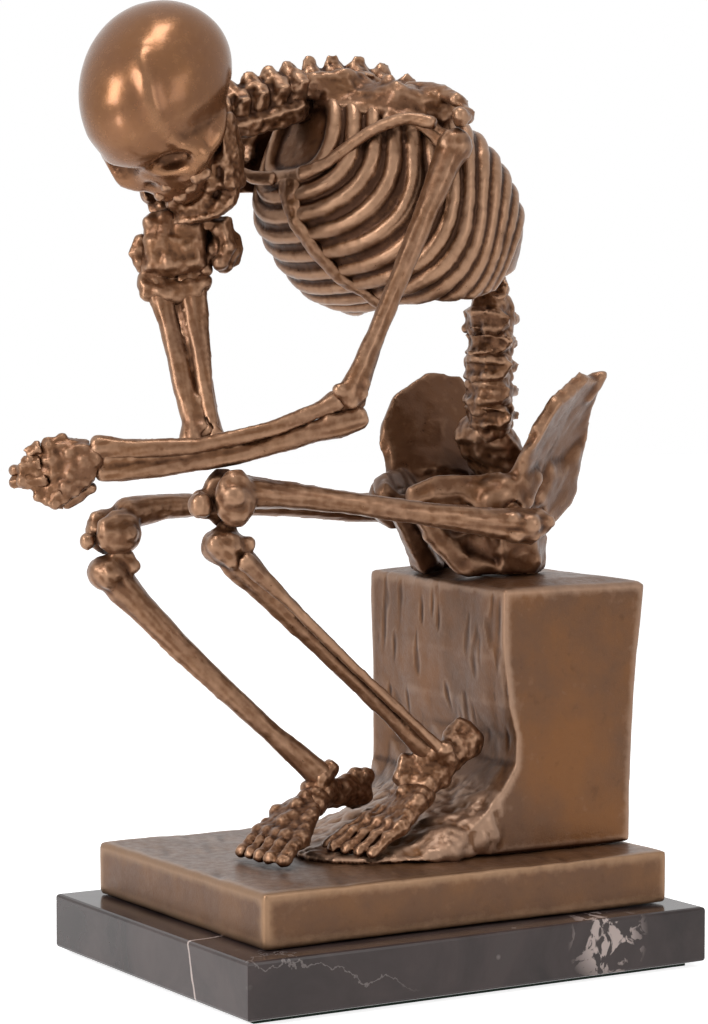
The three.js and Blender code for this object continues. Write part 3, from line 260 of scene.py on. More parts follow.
def shade_at(points, normals, reach=0.014):
    """How much of the sky each point of the cast loses to the metal near it, from 0 to 1. Where
    it is high the patina is darkened, partly as painted shade and partly as wax and dirt in
    hollows."""
    helper = np.where(np.abs(normals[:, 2:3]) < 0.8, [[0.0, 0.0, 1.0]], [[1.0, 0.0, 0.0]])
    across = np.cross(helper, normals)
    across /= np.linalg.norm(across, axis=1)[:, None]
    beyond = np.cross(normals, across)
    starts = (points + normals * skin_lift).tolist()
    lost = np.zeros(len(points))
    cast_ray = whole_cast.ray_cast
    for k in range(sky_count):
        ways = (sky_flat[k] * (math.cos(sky_turn[k]) * across + math.sin(sky_turn[k]) * beyond)
                + sky_rise[k] * normals).tolist()
        for i, (start, way) in enumerate(zip(starts, ways)):
            spot, facing, _, gap = cast_ray(start, way, reach)
            if spot is not None and facing.dot(Vector(way)) < 0:
                lost[i] += 1 - gap / reach
    return (lost / sky_count).astype(np.float32)


def new_object(name, data):
    """An object with that data, in the scene."""
    made = bpy.data.objects.new(name, data)
    bpy.context.scene.collection.objects.link(made)
    return made


def press_on(wax, pellets, bridge, fill):
    """Adds round pellets (x, y, z, radius), in mm, to the wax, and fills the dips between those
    whose middles are closer than bridge, in twos and threes, to the share fill of their size."""
    for x, y, z, radius in pellets:
        bmesh.ops.create_icosphere(wax, subdivisions=2, radius=radius * mm,
                                   matrix=Matrix.Translation((x * mm, y * mm, z * mm)))
    spots = np.array([pellet[:3] for pellet in pellets])
    near = [[j for j in range(i + 1, len(pellets))
             if np.linalg.norm(spots[i] - spots[j]) < bridge] for i in range(len(pellets))]
    groups = [(i, j) for i in range(len(pellets)) for j in near[i]]
    groups += [(i, j, k) for i, j in groups for k in near[j] if k in near[i]]
    for group in groups:
        verts = []
        for x, y, z, radius in (pellets[i] for i in group):
            ball = bmesh.ops.create_icosphere(wax, subdivisions=1, radius=fill * radius * mm,
                                              matrix=Matrix.Translation((x * mm, y * mm, z * mm)))
            verts += ball["verts"]
        hull = bmesh.ops.convex_hull(wax, input=verts)
        inner = [item for item in hull["geom_interior"] + hull["geom_unused"]
                 if isinstance(item, bmesh.types.BMVert)]
        bmesh.ops.delete(wax, geom=list(set(inner)), context="VERTS")


class Cast:
    """A fine skin over a copy of one frame node, to be worked like wax before it is cast.
    Where wax is given with copied off, the skin is drawn over that wax alone."""

    def __init__(self, node, voxel, rounds, pellets=(), levels=1, wax=None, bridge=0,
                 fill=0.85, copied=True):
        wax = wax or bmesh.new()
        if copied:
            wax.from_mesh(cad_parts[node].data)
            bmesh.ops.remove_doubles(wax, verts=wax.verts, dist=1e-6)
        press_on(wax, pellets, bridge, fill)
        rough = bpy.data.meshes.new(node + "_wax")
        wax.to_mesh(rough)
        wax.free()
        rough = self.modified(rough, "REMESH", mode="VOXEL", voxel_size=voxel * mm)
        self.take(rough)
        self.settle(rounds)
        # The stored shade darkens the patina: painted shade, and wax and dirt kept in hollows.
        shade = shade_at(self.points, self.normals())
        rough.attributes.new("shade", "FLOAT", "POINT").data.foreach_set("value", shade)
        if levels:
            rough = self.modified(rough, "SUBSURF", levels=levels, render_levels=levels)
        self.take(rough)
        self.name = node
        self.rubbed = 0

    def modified(self, mesh, kind, **settings):
        work = new_object("wax_work", mesh)
        tool = work.modifiers.new("tool", kind)
        for key, value in settings.items():
            setattr(tool, key, value)
        graph = bpy.context.evaluated_depsgraph_get()
        result = bpy.data.meshes.new_from_object(work.evaluated_get(graph))
        bpy.data.objects.remove(work)
        return result

    def take(self, mesh):
        self.mesh = mesh
        flat = np.zeros(len(mesh.vertices) * 3)
        mesh.vertices.foreach_get("co", flat)
        self.points = flat.reshape(-1, 3)
        pairs = np.zeros(len(mesh.edges) * 2, np.int32)
        mesh.edges.foreach_get("vertices", pairs)
        self.edges = pairs.reshape(-1, 2)

    def settle(self, rounds, inward=0.5, outward=0.52):
        """Smooths facets away and keeps the volume, because each step in has one back out."""
        for _ in range(rounds):
            for step in (inward, -outward):
                self.points += step * (neighbours_mean(self.points, self.edges) - self.points)

    def melt(self, weight, rounds, back):
        """Lets the skin flow smooth where the weight is 1, then presses it back out, in mm."""
        weight = np.broadcast_to(weight, len(self.points))[:, None]
        for _ in range(rounds):
            self.points += 0.5 * weight * (neighbours_mean(self.points, self.edges) - self.points)
        self.push(back * weight[:, 0])

    def normals(self):
        self.mesh.vertices.foreach_set("co", self.points.ravel())
        self.mesh.update()
        flat = np.zeros(len(self.points) * 3)
        self.mesh.vertices.foreach_get("normal", flat)
        return flat.reshape(-1, 3)

    def push(self, height):
        """Moves the skin along its normals by a height for each point, in mm."""
        self.points += self.normals() * (np.asarray(height) * mm)[:, None]

    def axis(self):
        """The direction in which the piece is longest."""
        centred = self.points - self.points.mean(0)
        return np.linalg.eigh(centred.T @ centred)[1][:, -1]

    def strokes(self, size, stretch, height, seed):
        """Shallow modelling strokes that run along the piece."""
        along = self.axis()
        q = self.points - self.points.mean(0)
        run = q @ along
        squeezed = q - np.outer(run, along) * (1 - 1 / stretch)
        first = grain(squeezed, size * mm, seed)
        second = grain(squeezed, 0.45 * size * mm, seed + 9)
        self.push(height * (0.7 * first + 0.3 * second))

    def lumps(self, size, height, seed):
        first = grain(self.points, size * mm, seed)
        second = grain(self.points, 0.45 * size * mm, seed + 5)
        self.push(height * (0.65 * first + 0.35 * second))

    def swell(self, centre, radius, height):
        """A round boss, or a dent where the height is below 0. Sizes are in mm."""
        gap = np.linalg.norm(self.points - np.array(centre) * mm, axis=1) / (radius * mm)
        self.push(height * np.exp(-(gap * 1.5) ** 2))

    def groove(self, line, width, depth, end=0.04, fullness=0.7):
        """A rounded groove along a line of points that fades at its ends, or a ridge where the
        depth is below 0."""
        path = np.array(line, float) * mm
        nearest = np.full(len(self.points), 1e9)
        passed = np.zeros(len(self.points))
        for step, (a, b) in enumerate(zip(path[:-1], path[1:])):
            way = b - a
            t = np.clip((self.points - a) @ way / (way @ way), 0, 1)
            gap = np.linalg.norm(self.points - a - t[:, None] * way, axis=1)
            passed = np.where(gap < nearest, (step + t) / (len(path) - 1), passed)
            nearest = np.minimum(nearest, gap)
        fade = np.sin(np.pi * np.clip(passed, end, 1 - end)) ** fullness
        self.push(-depth * fade * np.exp(-(nearest / (width * mm)) ** 2))

    def relief(self, rounds):
        """How far each point stands above the smoothed skin round it, in mm."""
        smooth = self.points.copy()
        for _ in range(rounds):
            smooth += 0.6 * (neighbours_mean(smooth, self.edges) - smooth)
        return ((self.points - smooth) * self.normals()).sum(1) / mm

    def add_painted_shade(self, amount):
        """Adds painted shade to the stored shade, or takes some of it away where the amount
        is below 0."""
        shade = np.zeros(len(self.points), np.float32)
        stored = self.mesh.attributes["shade"].data
        stored.foreach_get("value", shade)
        stored.foreach_set("value", np.clip(shade + amount, 0, 1).astype(np.float32))

    def finish(self, material, fine=0.03, broad=0.14):
        """Stores the relief that the patina follows, and puts the piece in its node's place.
        fine and broad are the heights, in mm, that count as standing proud."""
        fine_rounds, broad_rounds = 4, 24
        height = 0.4 * self.relief(fine_rounds) / fine + 0.6 * self.relief(broad_rounds) / broad
        height = 0.5 + 0.5 * np.tanh(height * 0.8) + self.rubbed
        relief = self.mesh.attributes.new("relief", "FLOAT", "POINT")
        relief.data.foreach_set("value", height.astype(np.float32))
        self.mesh.vertices.foreach_set("co", self.points.ravel())
        self.mesh.polygons.foreach_set("use_smooth", np.ones(len(self.mesh.polygons), bool))
        self.mesh.update()
        self.mesh.materials.clear()
        self.mesh.materials.append(material)
        piece = new_object(self.name + "_cast", self.mesh)
        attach(piece, "root")
        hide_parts(self.name)


# The patina shared by every bronze finish: nearly black in hollows and where nearby metal hides
# the sky, which is partly wax and dirt kept there and partly painted shade, mid brown on the flats,
# and rubbed through to warm metal on what stands proud, less where that painted shade is deep.
patina = bpy.data.node_groups.new("brown_patina", "ShaderNodeTree")
for socket_name, way, kind, value in (
        ("Place", "INPUT", "Vector", None), ("Relief", "INPUT", "Float", 0.5),
        ("Shade", "INPUT", "Float", 0.2), ("Hollow", "INPUT", "Color", (0.05, 0.021, 0.0105, 1)),
        ("Flat", "INPUT", "Color", (0.15, 0.068, 0.033, 1)),
        ("Rubbed", "INPUT", "Color", (0.42, 0.25, 0.155, 1)),
        ("Mottle", "INPUT", "Color", (0.175, 0.075, 0.028, 1)),
        ("Mottle share", "INPUT", "Float", 0.5), ("Mottle scale", "INPUT", "Float", 60.0),
        ("Bare", "INPUT", "Float", 0.65), ("Smooth", "INPUT", "Float", 0.27),
        ("Rough", "INPUT", "Float", 0.46), ("Color", "OUTPUT", "Color", None),
        ("Roughness", "OUTPUT", "Float", None), ("Metallic", "OUTPUT", "Float", None),
        ("Wax", "OUTPUT", "Float", None), ("Height", "OUTPUT", "Float", None)):
    made = patina.interface.new_socket(name=socket_name, in_out=way,
                                       socket_type="NodeSocket" + kind)
    if value is not None:
        made.default_value = value
given = patina.nodes.new("NodeGroupInput").outputs
uneven = noise_at(patina, given["Place"], 420, 4, 0.6)
shake = add_node(patina, "Math", {0: uneven, 1: 0.5}, operation="SUBTRACT")
level = add_node(patina, "Math", {0: shake.outputs[0], 1: 0.4, 2: given["Relief"]},
                 operation="MULTIPLY_ADD").outputs[0]
low_mask = spread_of(patina, level, 0.06, 0.46, 1.0, 0.0)
shade_mask = spread_of(patina, given["Shade"], 0.17, 0.68)
deep_mask = both(patina, low_mask, shade_mask, "MAXIMUM")
high_mask = both(patina, spread_of(patina, level, 0.56, 1.0),
                 spread_of(patina, given["Shade"], 0.2, 0.6, 1.0, 0.1))
blotch = noise_at(patina, given["Place"], given["Mottle scale"], 5, 0.6)
blotch_mask = both(patina, spread_of(patina, blotch, 0.4, 0.62), given["Mottle share"])
tone = mix_of(patina, blotch_mask, given["Flat"], given["Mottle"])
tone = mix_of(patina, both(patina, high_mask, given["Bare"]), tone, given["Rubbed"])
feed(patina, patina.nodes.new("NodeGroupOutput"), {
    "Color": mix_of(patina, deep_mask, tone, given["Hollow"]),
    "Roughness": spread_of(patina, uneven, 0.3, 0.7, given["Smooth"], given["Rough"]),
    "Metallic": spread_of(patina, high_mask, 0.0, 1.0, 0.6, 0.85),
    "Wax": spread_of(patina, deep_mask, 0.0, 0.8, 0.14, 0.0),
    "Height": noise_at(patina, given["Place"], 1500, 3, 0.6)})


def bronze_material(name, bump, coat_roughness=0.2, **values):
    """A bronze finish: the shared patina with its own colours and values, under clear wax."""
    material, tree, shader = new_material(name, 0.4, 0.4)
    group = add_node(tree, "Group", {
        "Place": place_of(tree),
        "Relief": add_node(tree, "Attribute", attribute_name="relief").outputs["Fac"],
        "Shade": add_node(tree, "Attribute", attribute_name="shade").outputs["Fac"]},
        node_tree=patina)
    feed(tree, group, {key.replace("_", " ").capitalize():
                       (*value, 1.0) if isinstance(value, tuple) else value
                       for key, value in values.items()})
    result = group.outputs
    feed(tree, shader, {
        "Base Color": result["Color"], "Roughness": result["Roughness"],
        "Metallic": result["Metallic"], "Coat Weight": result["Wax"],
        "Coat Roughness": coat_roughness, "Specular IOR Level": 0.15})
    bump_of(tree, shader, result["Height"], bump, 0.0003)
    return material


plinth_bronze = bronze_material(
    "bronze_plinth_patina", 0.2, flat=(0.13, 0.065, 0.035), mottle=(0.17, 0.08, 0.035),
    mottle_share=0.8, rubbed=(0.36, 0.22, 0.13), smooth=0.32, rough=0.48)
plinth = Cast("bronze_plinth", 0.85, 2, levels=0)
plinth_high = plinth.points[:, 2].max() - 0.6 * mm
on_top = plinth.points[:, 2] > plinth_high
across_top = plinth.points @ np.array([[0.9, 0.35, 0.0], [-0.35, 0.9, 0.0], [0.0, 0.0, 1.0]])
tool_marks = grain(across_top, np.array([14, 3.2, 20]) * mm, 5)
plinth.push(np.where(on_top, 0.2 * np.minimum(tool_marks, 0.1), 0))
plinth.lumps(24, 0.4, 3)
plinth.lumps(6, 0.07, 4)
plinth.finish(plinth_bronze, broad=0.3)


# The seat block. It is cast hollow in bronze as a rough hewn stone: its front is gouged from top
# to bottom and hollowed out above a craggy mound that runs forward under the feet. Its sides are
# flatter, with an orange and olive mottled patina.

mound_back = -24.0
mound_top = 58.0


def ramp(values, low, high):
    """0 below low, 1 above high, and eased between them."""
    t = np.clip((values - low) / (high - low), 0, 1)
    return t * t * (3 - 2 * t)


block_bronze = bronze_material(
    "bronze_block_patina", 0.3, flat=(0.13, 0.064, 0.034), mottle=(0.21, 0.085, 0.026),
    mottle_share=0.75, mottle_scale=26.0, rubbed=(0.4, 0.26, 0.18), smooth=0.33, rough=0.52,
    bare=0.6)
block = Cast("seat_block", 0.8, 2, levels=0)
spots = block.points / mm
facing = block.normals()
on_front = ramp(-facing[:, 1], 0.25, 0.7) * ramp(spots[:, 2], mound_top - 18, mound_top + 10)
gouges = np.abs(grain(spots, (13, 60, 34), 21)) - 0.3
fine_gouges = grain(spots, (4.5, 40, 12), 22)
chips = 0.8 * np.minimum(grain(spots, (2.8, 20, 9), 27) + 0.35, 0)
block.push(on_front * (0.75 * gouges + 0.1 * fine_gouges + chips
                       + 0.9 * grain(spots, (21, 90, 30), 26)))
on_mound = (ramp(-spots[:, 1], mound_back, mound_back + 4)
            * ramp(-spots[:, 2], -mound_top - 8, -mound_top + 2))
crags = np.abs(grain(spots, 11, 23)) - 0.3
stones = np.abs(grain(spots, 4.6, 24)) - 0.3
block.push(on_mound * (1.6 * crags + 0.7 * stones + 0.5 * grain(spots, 3, 24)
                       + 0.3 * grain(spots, 1.6, 25)))
block.lumps(14, 0.3, 11)
block.lumps(3.4, 0.05, 12)
# The mound keeps less of the stored shade, so it is lighter.
block.add_painted_shade(-0.4 * on_mound)
block.rubbed = 0.45 * on_mound
block.finish(block_bronze, fine=0.045, broad=0.42)


# The legs. Every long bone is solid bronze, modelled in wax with strokes that run down its shaft
# and rounded, glossier knuckles at its ends, and is welded to its neighbours after casting.

bone_bronze = bronze_material("bronze_bone_patina", 0.22)
plate_bronze = bronze_material("bronze_plate_patina", 0.22, flat=(0.125, 0.055, 0.026),
                               mottle=(0.15, 0.062, 0.022), bare=0.55)


# Wax is pressed on where listed marks fall on the bones for someone who stands where the
# photographer stood. Places are in mm, and pixels count from the photo's upper left corner.
eye = np.array([733.54795, -452.34373, 179.53155])
eye_heading, eye_tilt = math.radians(58.781495), math.radians(3.284726)
eye_middle = (354, 512)
eye_focal = 3000.0
eye_right = np.array([math.cos(eye_heading), math.sin(eye_heading), 0.0])
eye_back = np.array([math.sin(eye_heading) * math.cos(eye_tilt),
                     -math.cos(eye_heading) * math.cos(eye_tilt), math.sin(eye_tilt)])
eye_up = np.cross(eye_back, eye_right)
mark_steps = [(0, 0)] + [(reach * right, reach * down) for reach in (4, 8, 12, 16)
                         for right, down in ((1, 0), (-1, 0), (0, 1), (0, -1))]


def rows_of(text):
    """The rows of numbers that a text gives with commas between them."""
    return [tuple(float(value) for value in row.split()) for row in text.split(",")]


def sight_line(x, y):
    """The way from the eye to a pixel, 1 mm deep."""
    return ((x - eye_middle[0]) * eye_right - (y - eye_middle[1]) * eye_up) / eye_focal - eye_back


def depth_at(x, y, nodes):
    """How deep the metal seen at a pixel lies, or None where it is none of the nodes."""
    spot, _, face, _ = whole_cast.ray_cast(Vector(eye * mm), Vector(sight_line(x, y)))
    if spot is not None and cast_owners[face] in nodes:
        return (eye - np.array(spot) / mm) @ eye_back
    return None


def wax_on(nodes, sunk, text):
    """Pellets (x, y, z, radius), in mm, at marks (x, y, radius), in pixels, on those nodes. Each
    has its middle sunk radii behind the metal. A mark beside the nodes takes its depth from
    metal close by, or else from the nearest mark that has one."""
    marks = rows_of(text)
    depths = []
    for x, y, _ in marks:
        tries = (depth_at(x + right, y + down, nodes) for right, down in mark_steps)
        depths.append(next((depth for depth in tries if depth is not None), None))
    placed = [(mark, depth) for mark, depth in zip(marks, depths) if depth is not None]
    pellets = []
    for (x, y, radius), depth in zip(marks, depths):
        if depth is None:
            depth = min(placed, key=lambda pair: math.dist(pair[0][:2], (x, y)))[1]
        size = radius * depth / eye_focal
        spot = eye + sight_line(x, y) * (depth + sunk * size)
        pellets.append(tuple(round(float(value), 1) for value in (*spot, size)))
    return pellets


joint_wax = {
    "left_femur": wax_on(["left_femur"], 0.6, """
        548 522 8, 512 520 10, 530 525 12, 515 535 10, 200 497 8, 205 512 8, 233 497 15"""),
    "left_tibia": wax_on(["left_tibia", "left_fibula"], 0.6, """
        227 529 11, 247 545 9, 216 545 12, 232 562 8"""),
    "right_femur": wax_on(["right_femur", "right_patella"], 0.6, """
        97 518 8, 130 534 9, 95 530 8"""),
    "right_tibia": wax_on(["right_tibia", "right_femur"], 0.6, """
        116 556 10, 127 558 9, 134 566 8"""),
    "left_humerus": wax_on(["left_humerus", "left_ulna"], 0.6, """
        340 391 8, 361 394 8, 366 384 6, 343 405 8, 352 402 8"""),
    "right_radius": rows_of("""
        -11.4 -58.7 192.9 2.3, -11 -59.2 189.8 2.3, -10.4 -59.4 187 2.3, -9 -58.9 185.4 2.3,
        -7.7 -58.5 183.6 2.3, -6.6 -59 181 2"""),
    "right_ulna": wax_on(["right_ulna", "right_radius"], 0.9, """
        183 283 7, 185 297 6, 187 311 5.5, 189 325 5.5, 190 340 5.5, 192 355 5.5, 194 370 5.5,
        196 385 5.5, 198 400 6, 200 414 7, 202 428 8"""),
    "left_ulna": wax_on(["left_ulna", "left_radius"], 0.9, """
        354 408 8, 346 420 9, 108 458 10, 118 459 7, 132 458 6, 150 458 5.5, 168 457 5.5,
        186 455 5.5, 204 453 5.5, 222 450 5.5, 239.5 447 5.5, 258 443 5.5, 276 438 6, 294 432 6,
        312 427 7, 330 420 8""")}


def long_bone(node, seed, voxel=0.8, rounds=10, strokes=0.3):
    bone = Cast(node, voxel, rounds, joint_wax.get(node, ()), bridge=5.8)
    bone.strokes(2.3, 8, strokes, seed)
    bone.lumps(4.5, 0.24, seed + 1)
    bone.lumps(1.6, 0.03, seed + 2)
    bone.finish(bone_bronze)


for number, side in enumerate(("left", "right")):
    for order, bone_name in enumerate(("femur", "patella", "tibia", "fibula")):
        long_bone(f"{side}_{bone_name}", 20 + 10 * number + order)

# Each foot: where its arch, the ball and the toe tips are, in mm, and which way is outward.
foot_plans = {
    "left": {"heel": (17, 20.5, 65), "arch": (17.8, 2.5, 50), "ball": (16.3, -8.5, 42),
             "tips": (15.3, -20.5, 35.6), "sign": 1},
    "right": {"heel": (-11.2, 1, 48.6), "arch": (-2.2, -24.5, 44.5), "ball": (4.8, -35.5, 39.2),
              "tips": (9.8, -45, 35.1), "sign": -1},
}
left_ankle = ["left_hindfoot", "left_forefoot", "left_tibia", "left_fibula"]
right_ankle = ["right_hindfoot", "right_forefoot"]
tarsal_wax = {
    "left_hindfoot": wax_on(left_ankle, 0.75, """
        418 759 9, 432 756 9, 405 760 8, 401 777 8, 418 779 9, 434 780 8, 460 727 9, 456 744 9,
        465 753 8, 474 735 8, 450 762 8, 445 750 9, 411 768 10, 426 768 10, 440 768 10,
        408 784 9, 428 786 10, 442 780 9, 452 740 10, 461 745 10, 470 742 8, 447 757 9"""),
    "left_forefoot": wax_on(["left_forefoot", "left_hindfoot"], 0.6, """
        404 792 8, 421 794 9"""),
    "right_hindfoot": wax_on(right_ankle, 0.75, """
        331 768 9, 322 780 9, 309 787 8, 355 777 8, 367 777 8.5, 346 791 9, 360 791 8,
        338 800 7"""),
    "right_forefoot": wax_on(right_ankle, 0.6, """
        316 794 8, 305 797 8, 327 793 8, 297 805 8, 313 810 8, 294 816 7, 284 821 8, 307 821 7""")}
ray_spread = 4.0
toe_spread = 4.5
for number, side in enumerate(("left", "right")):
    plan = {key: np.array(value, float) for key, value in foot_plans[side].items()}
    forward = (plan["tips"] - plan["heel"]) * (1, 1, 0)
    forward /= np.linalg.norm(forward)
    outward = np.cross((0, 0, 1), forward) * plan["sign"]
    pellets = list(tarsal_wax[f"{side}_forefoot"])
    for ray in range(5):
        off = ray - 2
        knuckle = plan["ball"] + outward * off * ray_spread + forward * (1.5 - 1.1 * abs(ray - 1))
        tip = plan["tips"] + outward * off * toe_spread + forward * (2 - 1.8 * abs(ray - 0.7))
        root = 0.72 * plan["arch"] + 0.28 * plan["ball"] + outward * off * 3
        for share, radius, lift in ((0.0, 2.5, 1.6), (0.55, 1.9, 1.0), (1.0, 2.6, 0.9)):
            pellets.append((*(root + share * (knuckle - root) + (0, 0, lift)), radius))
        for share, radius, lift in ((0.45, 1.7, 1.4), (0.9, 1.8, 0.5)):
            pellets.append((*(knuckle + share * (tip - knuckle) + (0, 0, lift)), radius))
    foot = Cast(f"{side}_forefoot", 0.62, 8, pellets, bridge=3.6, fill=0.9)
    foot.lumps(2.2, 0.32, 40 + number)
    foot.lumps(1.1, 0.1, 42 + number)
    foot.finish(bone_bronze)
    hindfoot = Cast(f"{side}_hindfoot", 0.65, 16, tarsal_wax[f"{side}_hindfoot"], bridge=7,
                    fill=0.95)
    hindfoot.melt(1.0, 16, 0.3)
    hindfoot.lumps(4.2, 0.9, 44 + number)
    hindfoot.lumps(1.8, 0.25, 46 + number)
    hindfoot.finish(bone_bronze)


# The pelvis and the spine. Hip bones are thin bent plates with thick rims. The vertebrae are
# cast in one column with the discs between them, rough from the modelling tool.

hip_wax = wax_on(["left_hip_bone"], 0.95, """
    440 489 9, 457 489 10, 474 490 11, 490 490 12, 505 488 12, 519 484 12, 532 478 12,
    545 470 12, 558 468 12, 568 462 11, 549 488 12, 560 480 11, 535 497 12, 548 503 11,
    551 515 9, 572 450 10, 566 472 10, 540 510 9, 525 500 10, 500 500 10, 480 503 9,
    450 546 12, 474 550 14, 497 548 13, 519 553 13, 533 560 10, 440 538 9, 470 535 10,
    484 536 10, 498 538 10, 478 547 10, 492 548 10, 460 542 10, 505 548 10, 430 535 9,
    440 546 9, 450 552 9, 567 480 9, 570 490 8, 572 470 9, 566 500 8""")
hip_wax += rows_of("""
    16.2 67.6 169 1.9, 15.6 65.8 166.4 2.3, 15 63.5 163 2.2, 15 64.2 168 2""")
for number, node in enumerate(("left_hip_bone", "right_hip_bone")):
    hip = Cast(node, 0.85, 26, hip_wax if node == "left_hip_bone" else (), bridge=9, fill=1)
    if number == 0:
        hip.swell((13.3, 60.4, 170.5), 5, -0.8)
    hip.strokes(5, 3, 0.35, 60 + number)
    hip.lumps(7, 0.3, 63 + number)
    hip.lumps(2.4, 0.05, 66 + number)
    # The right hip bone gets extra painted shade all over.
    hip.add_painted_shade(0.3 * number)
    hip.finish(plate_bronze)
sacrum = Cast("sacrum", 0.8, 20)
sacrum.push(1.1 * (grain(sacrum.points / mm, (9, 9, 2.6), 68) - 0.2))
sacrum.lumps(4, 0.7, 69)
sacrum.finish(bone_bronze)
column_middle = (-5.8, 43.0)
column_radius = 6.9
for number in range(1, 6):
    low, high = (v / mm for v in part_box(f"lumbar_vertebra_{number}"))
    middle = (low[2] + high[2]) / 2
    core = [(*column_middle, middle + step, column_radius) for step in (-2.6, 0, 2.6)]
    vertebra = Cast(f"lumbar_vertebra_{number}", 0.6, 3, core)
    vertebra.lumps(5, 1.5, 70 + number)
    vertebra.lumps(2, 0.16, 75 + number)
    vertebra.finish(bone_bronze)
for number, node in enumerate(("thoracic_spine", "cervical_spine")):
    column = Cast(node, 0.45, 14, levels=0)
    column.lumps(3.4, 0.8, 80 + number)
    column.lumps(1.6, 0.1, 82 + number)
    column.finish(bone_bronze)


# The ribcage and breastbone. Thirteen ribs are modelled as round bands on one closed shell. Each
# starts beside the spine, falls towards the breastbone and turns in under the cage at the bottom.

rib_rows = (
    ((0.7, -41, 139.5), (4.7, -51.5, 115.5), 12), ((1.2, -30, 141), (5.2, -51.5, 109.8), 21),
    ((1.7, -17, 138.5), (6.2, -50, 102.5), 28), ((2.2, -3, 130), (7.7, -45, 95.5), 32),
    ((2.7, 7, 117), (9.2, -39, 89), 33), ((3.2, 12.5, 102), (10.7, -33, 84.5), 31),
    ((3.7, 12.5, 89.5), (12.7, -24, 82), 25))
figure_place = np.array([-9.7, 25.5, 109.0])
rib_fall = (0.5, 0.5, 0.5, 0.53, 0.62, 0.75, 0.88, 0.97, 1.0)
rib_count = 13
rib_pitch = 0.122
rib_radius = 2.6
rib_inset = 2.3
floor_inset = 1.15
cage_hollow = 9.0
cage_end = 1.72
under_turn = 0.75
rib_steps = 40
rib_start, rib_reach = 0.03, 0.965
cage_boxiness = 0.09
cage_droop = 4.0
turn, roll = math.radians(18), math.radians(6)
cage_left = np.array([math.cos(turn) * math.cos(roll), math.sin(turn) * math.cos(roll),
                      math.sin(roll)])


def along(values, t):
    """A smooth curve through evenly spaced values, read at t from 0 to 1."""
    values = np.asarray(values, float)
    s = t * (len(values) - 1)
    k = min(int(s), len(values) - 2)
    f = s - k
    a, b, c, d = (values[min(max(k + step, 0), len(values) - 1)] for step in (-1, 0, 1, 2))
    return b + 0.5 * f * (c - a + f * (2 * a - 5 * b + 4 * c - d + f * (3 * (b - c) + d - a)))


def cage_wall(t, angle, inset):
    """A place on the wall of the cage: t runs down it, and angle runs round it from the spine."""
    held = min(t, 1.0)
    back = along([row[0] for row in rib_rows], held)
    front = along([row[1] for row in rib_rows], held)
    half = along([row[2] for row in rib_rows], held)
    middle = (back + front) / 2
    depth = np.linalg.norm(back - middle)
    way = (back - middle) / depth
    up = np.cross(cage_left, way)
    up /= np.linalg.norm(up)
    c, s = math.cos(angle), math.sin(angle)
    boxy = 1 + cage_boxiness * math.sin(2 * angle) ** 2
    droop = cage_droop * min(1, 0.3 + t * 1.6)
    spot = (middle + way * (depth - inset) * c * boxy + cage_left * (half - inset) * s * boxy
            - up * droop * s * s * (0.35 - 0.65 * c))
    under = min(max(0.0, t - 1) / under_turn, 0.92)
    return spot + under * (middle + up * cage_hollow - spot) + figure_place


def rib_lines():
    """The middle lines of all ribs as a mesh of edges, with how thick each is along its way."""
    lines = bpy.data.meshes.new("rib_lines")
    spots, links, swells = [], [], []
    for rib in range(rib_count):
        for way in (1, -1):
            for step in range(rib_steps + 1):
                share = rib_start + rib_reach * step / rib_steps
                t = (rib + 0.4) * rib_pitch * along(rib_fall, share)
                spots.append(cage_wall(t, way * share * math.pi, rib_inset) * mm)
                swells.append(0.82 + 0.22 * math.sin(math.pi * min(1, share * 1.15)) ** 2)
                if step:
                    links.append((len(spots) - 2, len(spots) - 1))
    lines.from_pydata([tuple(spot) for spot in spots], links, [])
    lines.attributes.new("swell", "FLOAT", "POINT").data.foreach_set("value", swells)
    return lines


def band_tree():
    """Geometry Nodes that sweep a round band along every line, thick as its swell says."""
    tree = bpy.data.node_groups.new("round_bands", "GeometryNodeTree")
    for name, way, kind in (("Lines", "INPUT", "Geometry"), ("Band radius", "INPUT", "Float"),
                            ("Band sides", "INPUT", "Int"), ("Finish", "INPUT", "Material"),
                            ("Bands", "OUTPUT", "Geometry")):
        tree.interface.new_socket(name=name, in_out=way, socket_type="NodeSocket" + kind)
    enter, leave, curve, swell, thick, ring, sweep, real, finish = (
        tree.nodes.new(kind) for kind in (
            "NodeGroupInput", "NodeGroupOutput", "GeometryNodeMeshToCurve",
            "GeometryNodeInputNamedAttribute", "GeometryNodeSetCurveRadius",
            "GeometryNodeCurvePrimitiveCircle", "GeometryNodeCurveToMesh",
            "GeometryNodeRealizeInstances", "GeometryNodeSetMaterial"))
    swell.data_type = "FLOAT"
    swell.inputs["Name"].default_value = "swell"
    sweep.inputs["Fill Caps"].default_value = True
    for giver, result, taker, target in (
            (enter, "Lines", curve, "Mesh"), (curve, "Curve", thick, "Curve"),
            (swell, "Attribute", thick, "Radius"), (enter, "Band radius", ring, "Radius"),
            (enter, "Band sides", ring, "Resolution"), (thick, "Curve", sweep, "Curve"),
            (ring, "Curve", sweep, "Profile Curve"), (sweep, "Mesh", real, "Geometry"),
            (real, "Geometry", finish, "Geometry"), (enter, "Finish", finish, "Material"),
            (finish, "Geometry", leave, "Bands")):
        tree.links.new(giver.outputs[result], taker.inputs[target])
    return tree


